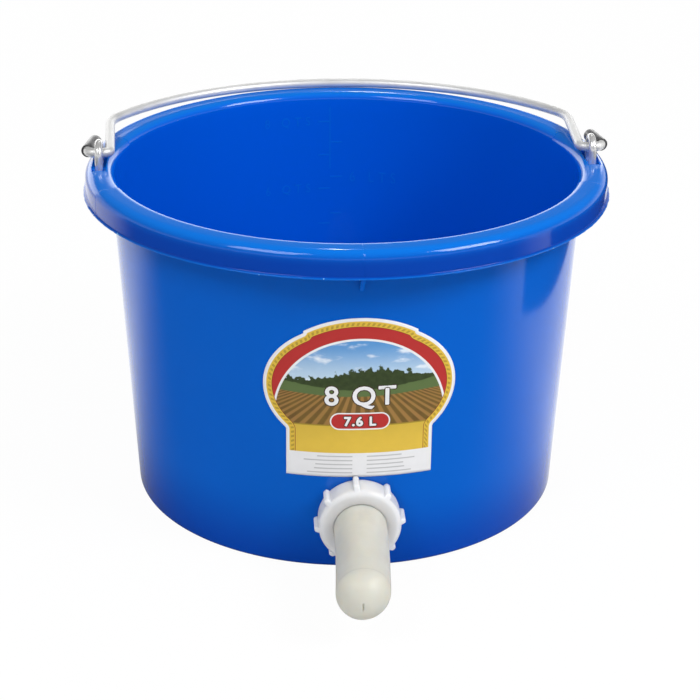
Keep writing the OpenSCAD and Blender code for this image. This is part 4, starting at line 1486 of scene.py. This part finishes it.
def looking(place, forward, up):
    """Matrix of a camera or lamp at a place that looks along forward."""
    back = -unit(np.array(forward, float))
    right = unit(np.cross(up, back))
    matrix = np.eye(4)
    matrix[:3, :3] = np.stack([right, np.cross(back, right), back], axis=-1)
    matrix[:3, 3] = place
    return Matrix(matrix.tolist())


def make_camera(scene, stage):
    """Camera that looks at the front of the pail from above, turned about the pail's axis by camera_turn."""
    pitch, yaw, roll = stage.camera_pitch, stage.camera_yaw, stage.camera_roll
    forward = np.array([math.sin(yaw) * math.cos(pitch), math.cos(yaw) * math.cos(pitch), -math.sin(pitch)])
    right = np.array([math.cos(yaw), -math.sin(yaw), 0])
    up = np.cross(right, forward) * math.cos(roll) - right * math.sin(roll)
    c, s = math.cos(stage.camera_turn), math.sin(stage.camera_turn)
    turn = np.array([[c, s, 0], [-s, c, 0], [0, 0, 1]])
    place = turn @ [0, -stage.camera_reach, stage.camera_height]
    data = bpy.data.cameras.new("camera")
    data.lens = stage.lens
    camera = bpy.data.objects.new("camera", data)
    camera.matrix_world = looking(place, turn @ forward, turn @ up)
    scene.collection.objects.link(camera)
    scene.camera = camera


# Operators

class PailOperator(bpy.types.Operator):
    """Makes the moulded pail: shell, solid rim around the eyes, front rib, pockets and outlet hole."""
    bl_idname = "calf_pail.make_pail"
    bl_label = "Pail"

    def execute(self, context):
        settings = context.scene.calf_pail
        pail = settings.pail
        shell = carve(pail_mesh(pail), [pad_mesh(pail, 0), pad_mesh(pail, math.pi), rib_mesh(pail)], "UNION")
        cutters = [pocket_mesh(settings, -1), pocket_mesh(settings, 1), outlet_hole_mesh(settings)]
        mesh = carve(shell, cutters, "DIFFERENCE")
        piece(mesh, pail_finish(settings), "pail", ["pail_body"])
        return {"FINISHED"}


class MarksOperator(bpy.types.Operator):
    """Makes the raised capacity marks inside the back wall."""
    bl_idname = "calf_pail.make_marks"
    bl_label = "Capacity marks"

    def execute(self, context):
        settings = context.scene.calf_pail
        rise = settings.marks.rise
        parts = [(on_back_wall(settings.pail, points * [1, 1, 2 * rise] - [0, 0, rise]), faces)
                 for points, faces in word_parts(settings)]
        # Painted light: the marks get a share of the paler blue, for light caught by their raised edges
        finish = pail_finish(settings, "mark_plastic", pale=0.35)
        piece(merged(parts, "capacity_marks"), finish, "pail")
        return {"FINISHED"}


class EyesOperator(bpy.types.Operator):
    """Makes the two wire eyes that the bail turns in."""
    bl_idname = "calf_pail.make_eyes"
    bl_label = "Eyes"

    def execute(self, context):
        settings = context.scene.calf_pail
        finish = steel_finish(settings, "eye_steel", dull=0.23, metal=0.62)
        normal = np.array([1.0, 0, 0])
        for side, name in ((-1, "left"), (1, "right")):
            mesh = wire_mesh(name + "_staple", eye_path(settings, side), normal, settings.wire.eye_wire)
            piece(mesh, finish, "pail", [name + "_eye"])
        return {"FINISHED"}


class BailOperator(bpy.types.Operator):
    """Makes the bent wire bail."""
    bl_idname = "calf_pail.make_bail"
    bl_label = "Bail"

    def execute(self, context):
        settings = context.scene.calf_pail
        path = np.insert(bail_path(settings), 2, 0, axis=1)
        tip = bail_rest(settings)
        normal = np.array([0, math.sin(tip), math.cos(tip)])
        mesh = wire_mesh("bail_wire", on_bail(settings, path), normal, settings.wire.bail_wire)
        finish = steel_finish(settings, "bail_steel", dull=0.42, metal=0.5)
        piece(mesh, finish, "bail", ["bail"])
        return {"FINISHED"}


class TubesOperator(bpy.types.Operator):
    """Makes the black tubes on the bail's hooked ends."""
    bl_idname = "calf_pail.make_tubes"
    bl_label = "Tubes"

    def execute(self, context):
        settings = context.scene.calf_pail
        finish = tube_finish(settings)
        for side, name in ((-1, "left"), (1, "right")):
            mesh = tube_mesh(settings, name + "_tube", side)
            piece(mesh, finish, "bail", [name + "_sleeve"])
        return {"FINISHED"}


class OutletOperator(bpy.types.Operator):
    """Makes the spigot and the lugged nut, and finishes the gasket, the valve disc and its cage."""
    bl_idname = "calf_pail.make_outlet"
    bl_label = "Outlet"

    def execute(self, context):
        settings = context.scene.calf_pail
        nylon = nylon_finish(settings)
        piece(spigot_mesh(settings), nylon, "pail", ["spigot"])
        piece(nut_mesh(settings), nylon, "pail", ["nipple_nut"])
        finishes = {
            "gasket": rubber_finish("gasket_rubber", settings.finish.gasket),
            "valve_disc": rubber_finish("valve_rubber", settings.finish.valve),
            "valve_cage": nylon}
        for name, finish in finishes.items():
            frame["nodes"][name].material_slots[0].material = finish
        return {"FINISHED"}


class TeatOperator(bpy.types.Operator):
    """Makes the rubber teat."""
    bl_idname = "calf_pail.make_teat"
    bl_label = "Teat"

    def execute(self, context):
        settings = context.scene.calf_pail
        piece(teat_mesh(settings), teat_finish(settings), "pail", ["nipple"])
        return {"FINISHED"}


class LabelOperator(bpy.types.Operator):
    """Makes the printed label, and its figures in white ink on wider dark ink."""
    bl_idname = "calf_pail.make_label"
    bl_label = "Label"

    def execute(self, context):
        settings = context.scene.calf_pail
        sheet = piece(label_mesh(settings), label_finish(settings), "pail", ["label"])
        thick = sheet.modifiers.new("film", "SOLIDIFY")
        thick.thickness = settings.label.thickness
        thick.offset = -1
        inks = {
            "label_shadows": ("dark_ink", settings.finish.dark, 0.85 * MM, 0.03 * MM),
            "label_figures": ("white_ink", settings.finish.paper, 0.3 * MM, 0.06 * MM)}
        for name, (ink, shade, spread, rise) in inks.items():
            piece(label_words(settings, name, spread, rise), ink_finish(ink, shade), "pail")
        return {"FINISHED"}


class StageOperator(bpy.types.Operator):
    """Makes the pale floor, the studio light and the camera."""
    bl_idname = "calf_pail.make_stage"
    bl_label = "Stage"

    def execute(self, context):
        stage = context.scene.calf_pail.stage
        make_floor(stage)
        make_world(context.scene, stage)
        make_lights(context.scene, stage)
        make_camera(context.scene, stage)
        context.scene.view_settings.view_transform = "Standard"
        return {"FINISHED"}


OPERATORS = (PailOperator, MarksOperator, EyesOperator, BailOperator, TubesOperator, OutletOperator,
             TeatOperator, LabelOperator, StageOperator)
GROUPS = (PailSizes, MarkSizes, WireSizes, OutletSizes, LabelSizes, Finishes, StageSettings, CalfPailSettings)


class CalfPailPanel(bpy.types.Panel):
    """Lists the bucket's settings and the operators that make its pieces."""
    bl_idname = "VIEW3D_PT_calf_pail"
    bl_label = "Calf Pail"
    bl_space_type = "VIEW_3D"
    bl_region_type = "UI"
    bl_category = "Calf Pail"

    def draw(self, context):
        settings = context.scene.calf_pail
        for operator in OPERATORS:
            self.layout.operator(operator.bl_idname)
        for name in CalfPailSettings.__annotations__:
            box = self.layout.box()
            box.label(text=name.title())
            for field in type(getattr(settings, name)).__annotations__:
                box.prop(getattr(settings, name), field)


def register():
    """Adds the classes and the scene's settings."""
    for group in (*GROUPS, *OPERATORS, CalfPailPanel):
        bpy.utils.register_class(group)
    bpy.types.Scene.calf_pail = PointerProperty(type=CalfPailSettings)


def unregister():
    """Removes the settings and the classes."""
    del bpy.types.Scene.calf_pail
    for group in reversed((*GROUPS, *OPERATORS, CalfPailPanel)):
        bpy.utils.unregister_class(group)


def main():
    """Makes every piece and the stage."""
    register()
    make = bpy.ops.calf_pail
    make.make_pail()
    make.make_marks()
    make.make_eyes()
    make.make_bail()
    make.make_tubes()
    make.make_outlet()
    make.make_teat()
    make.make_label()
    make.make_stage()


if __name__ == "__main__":
    main()
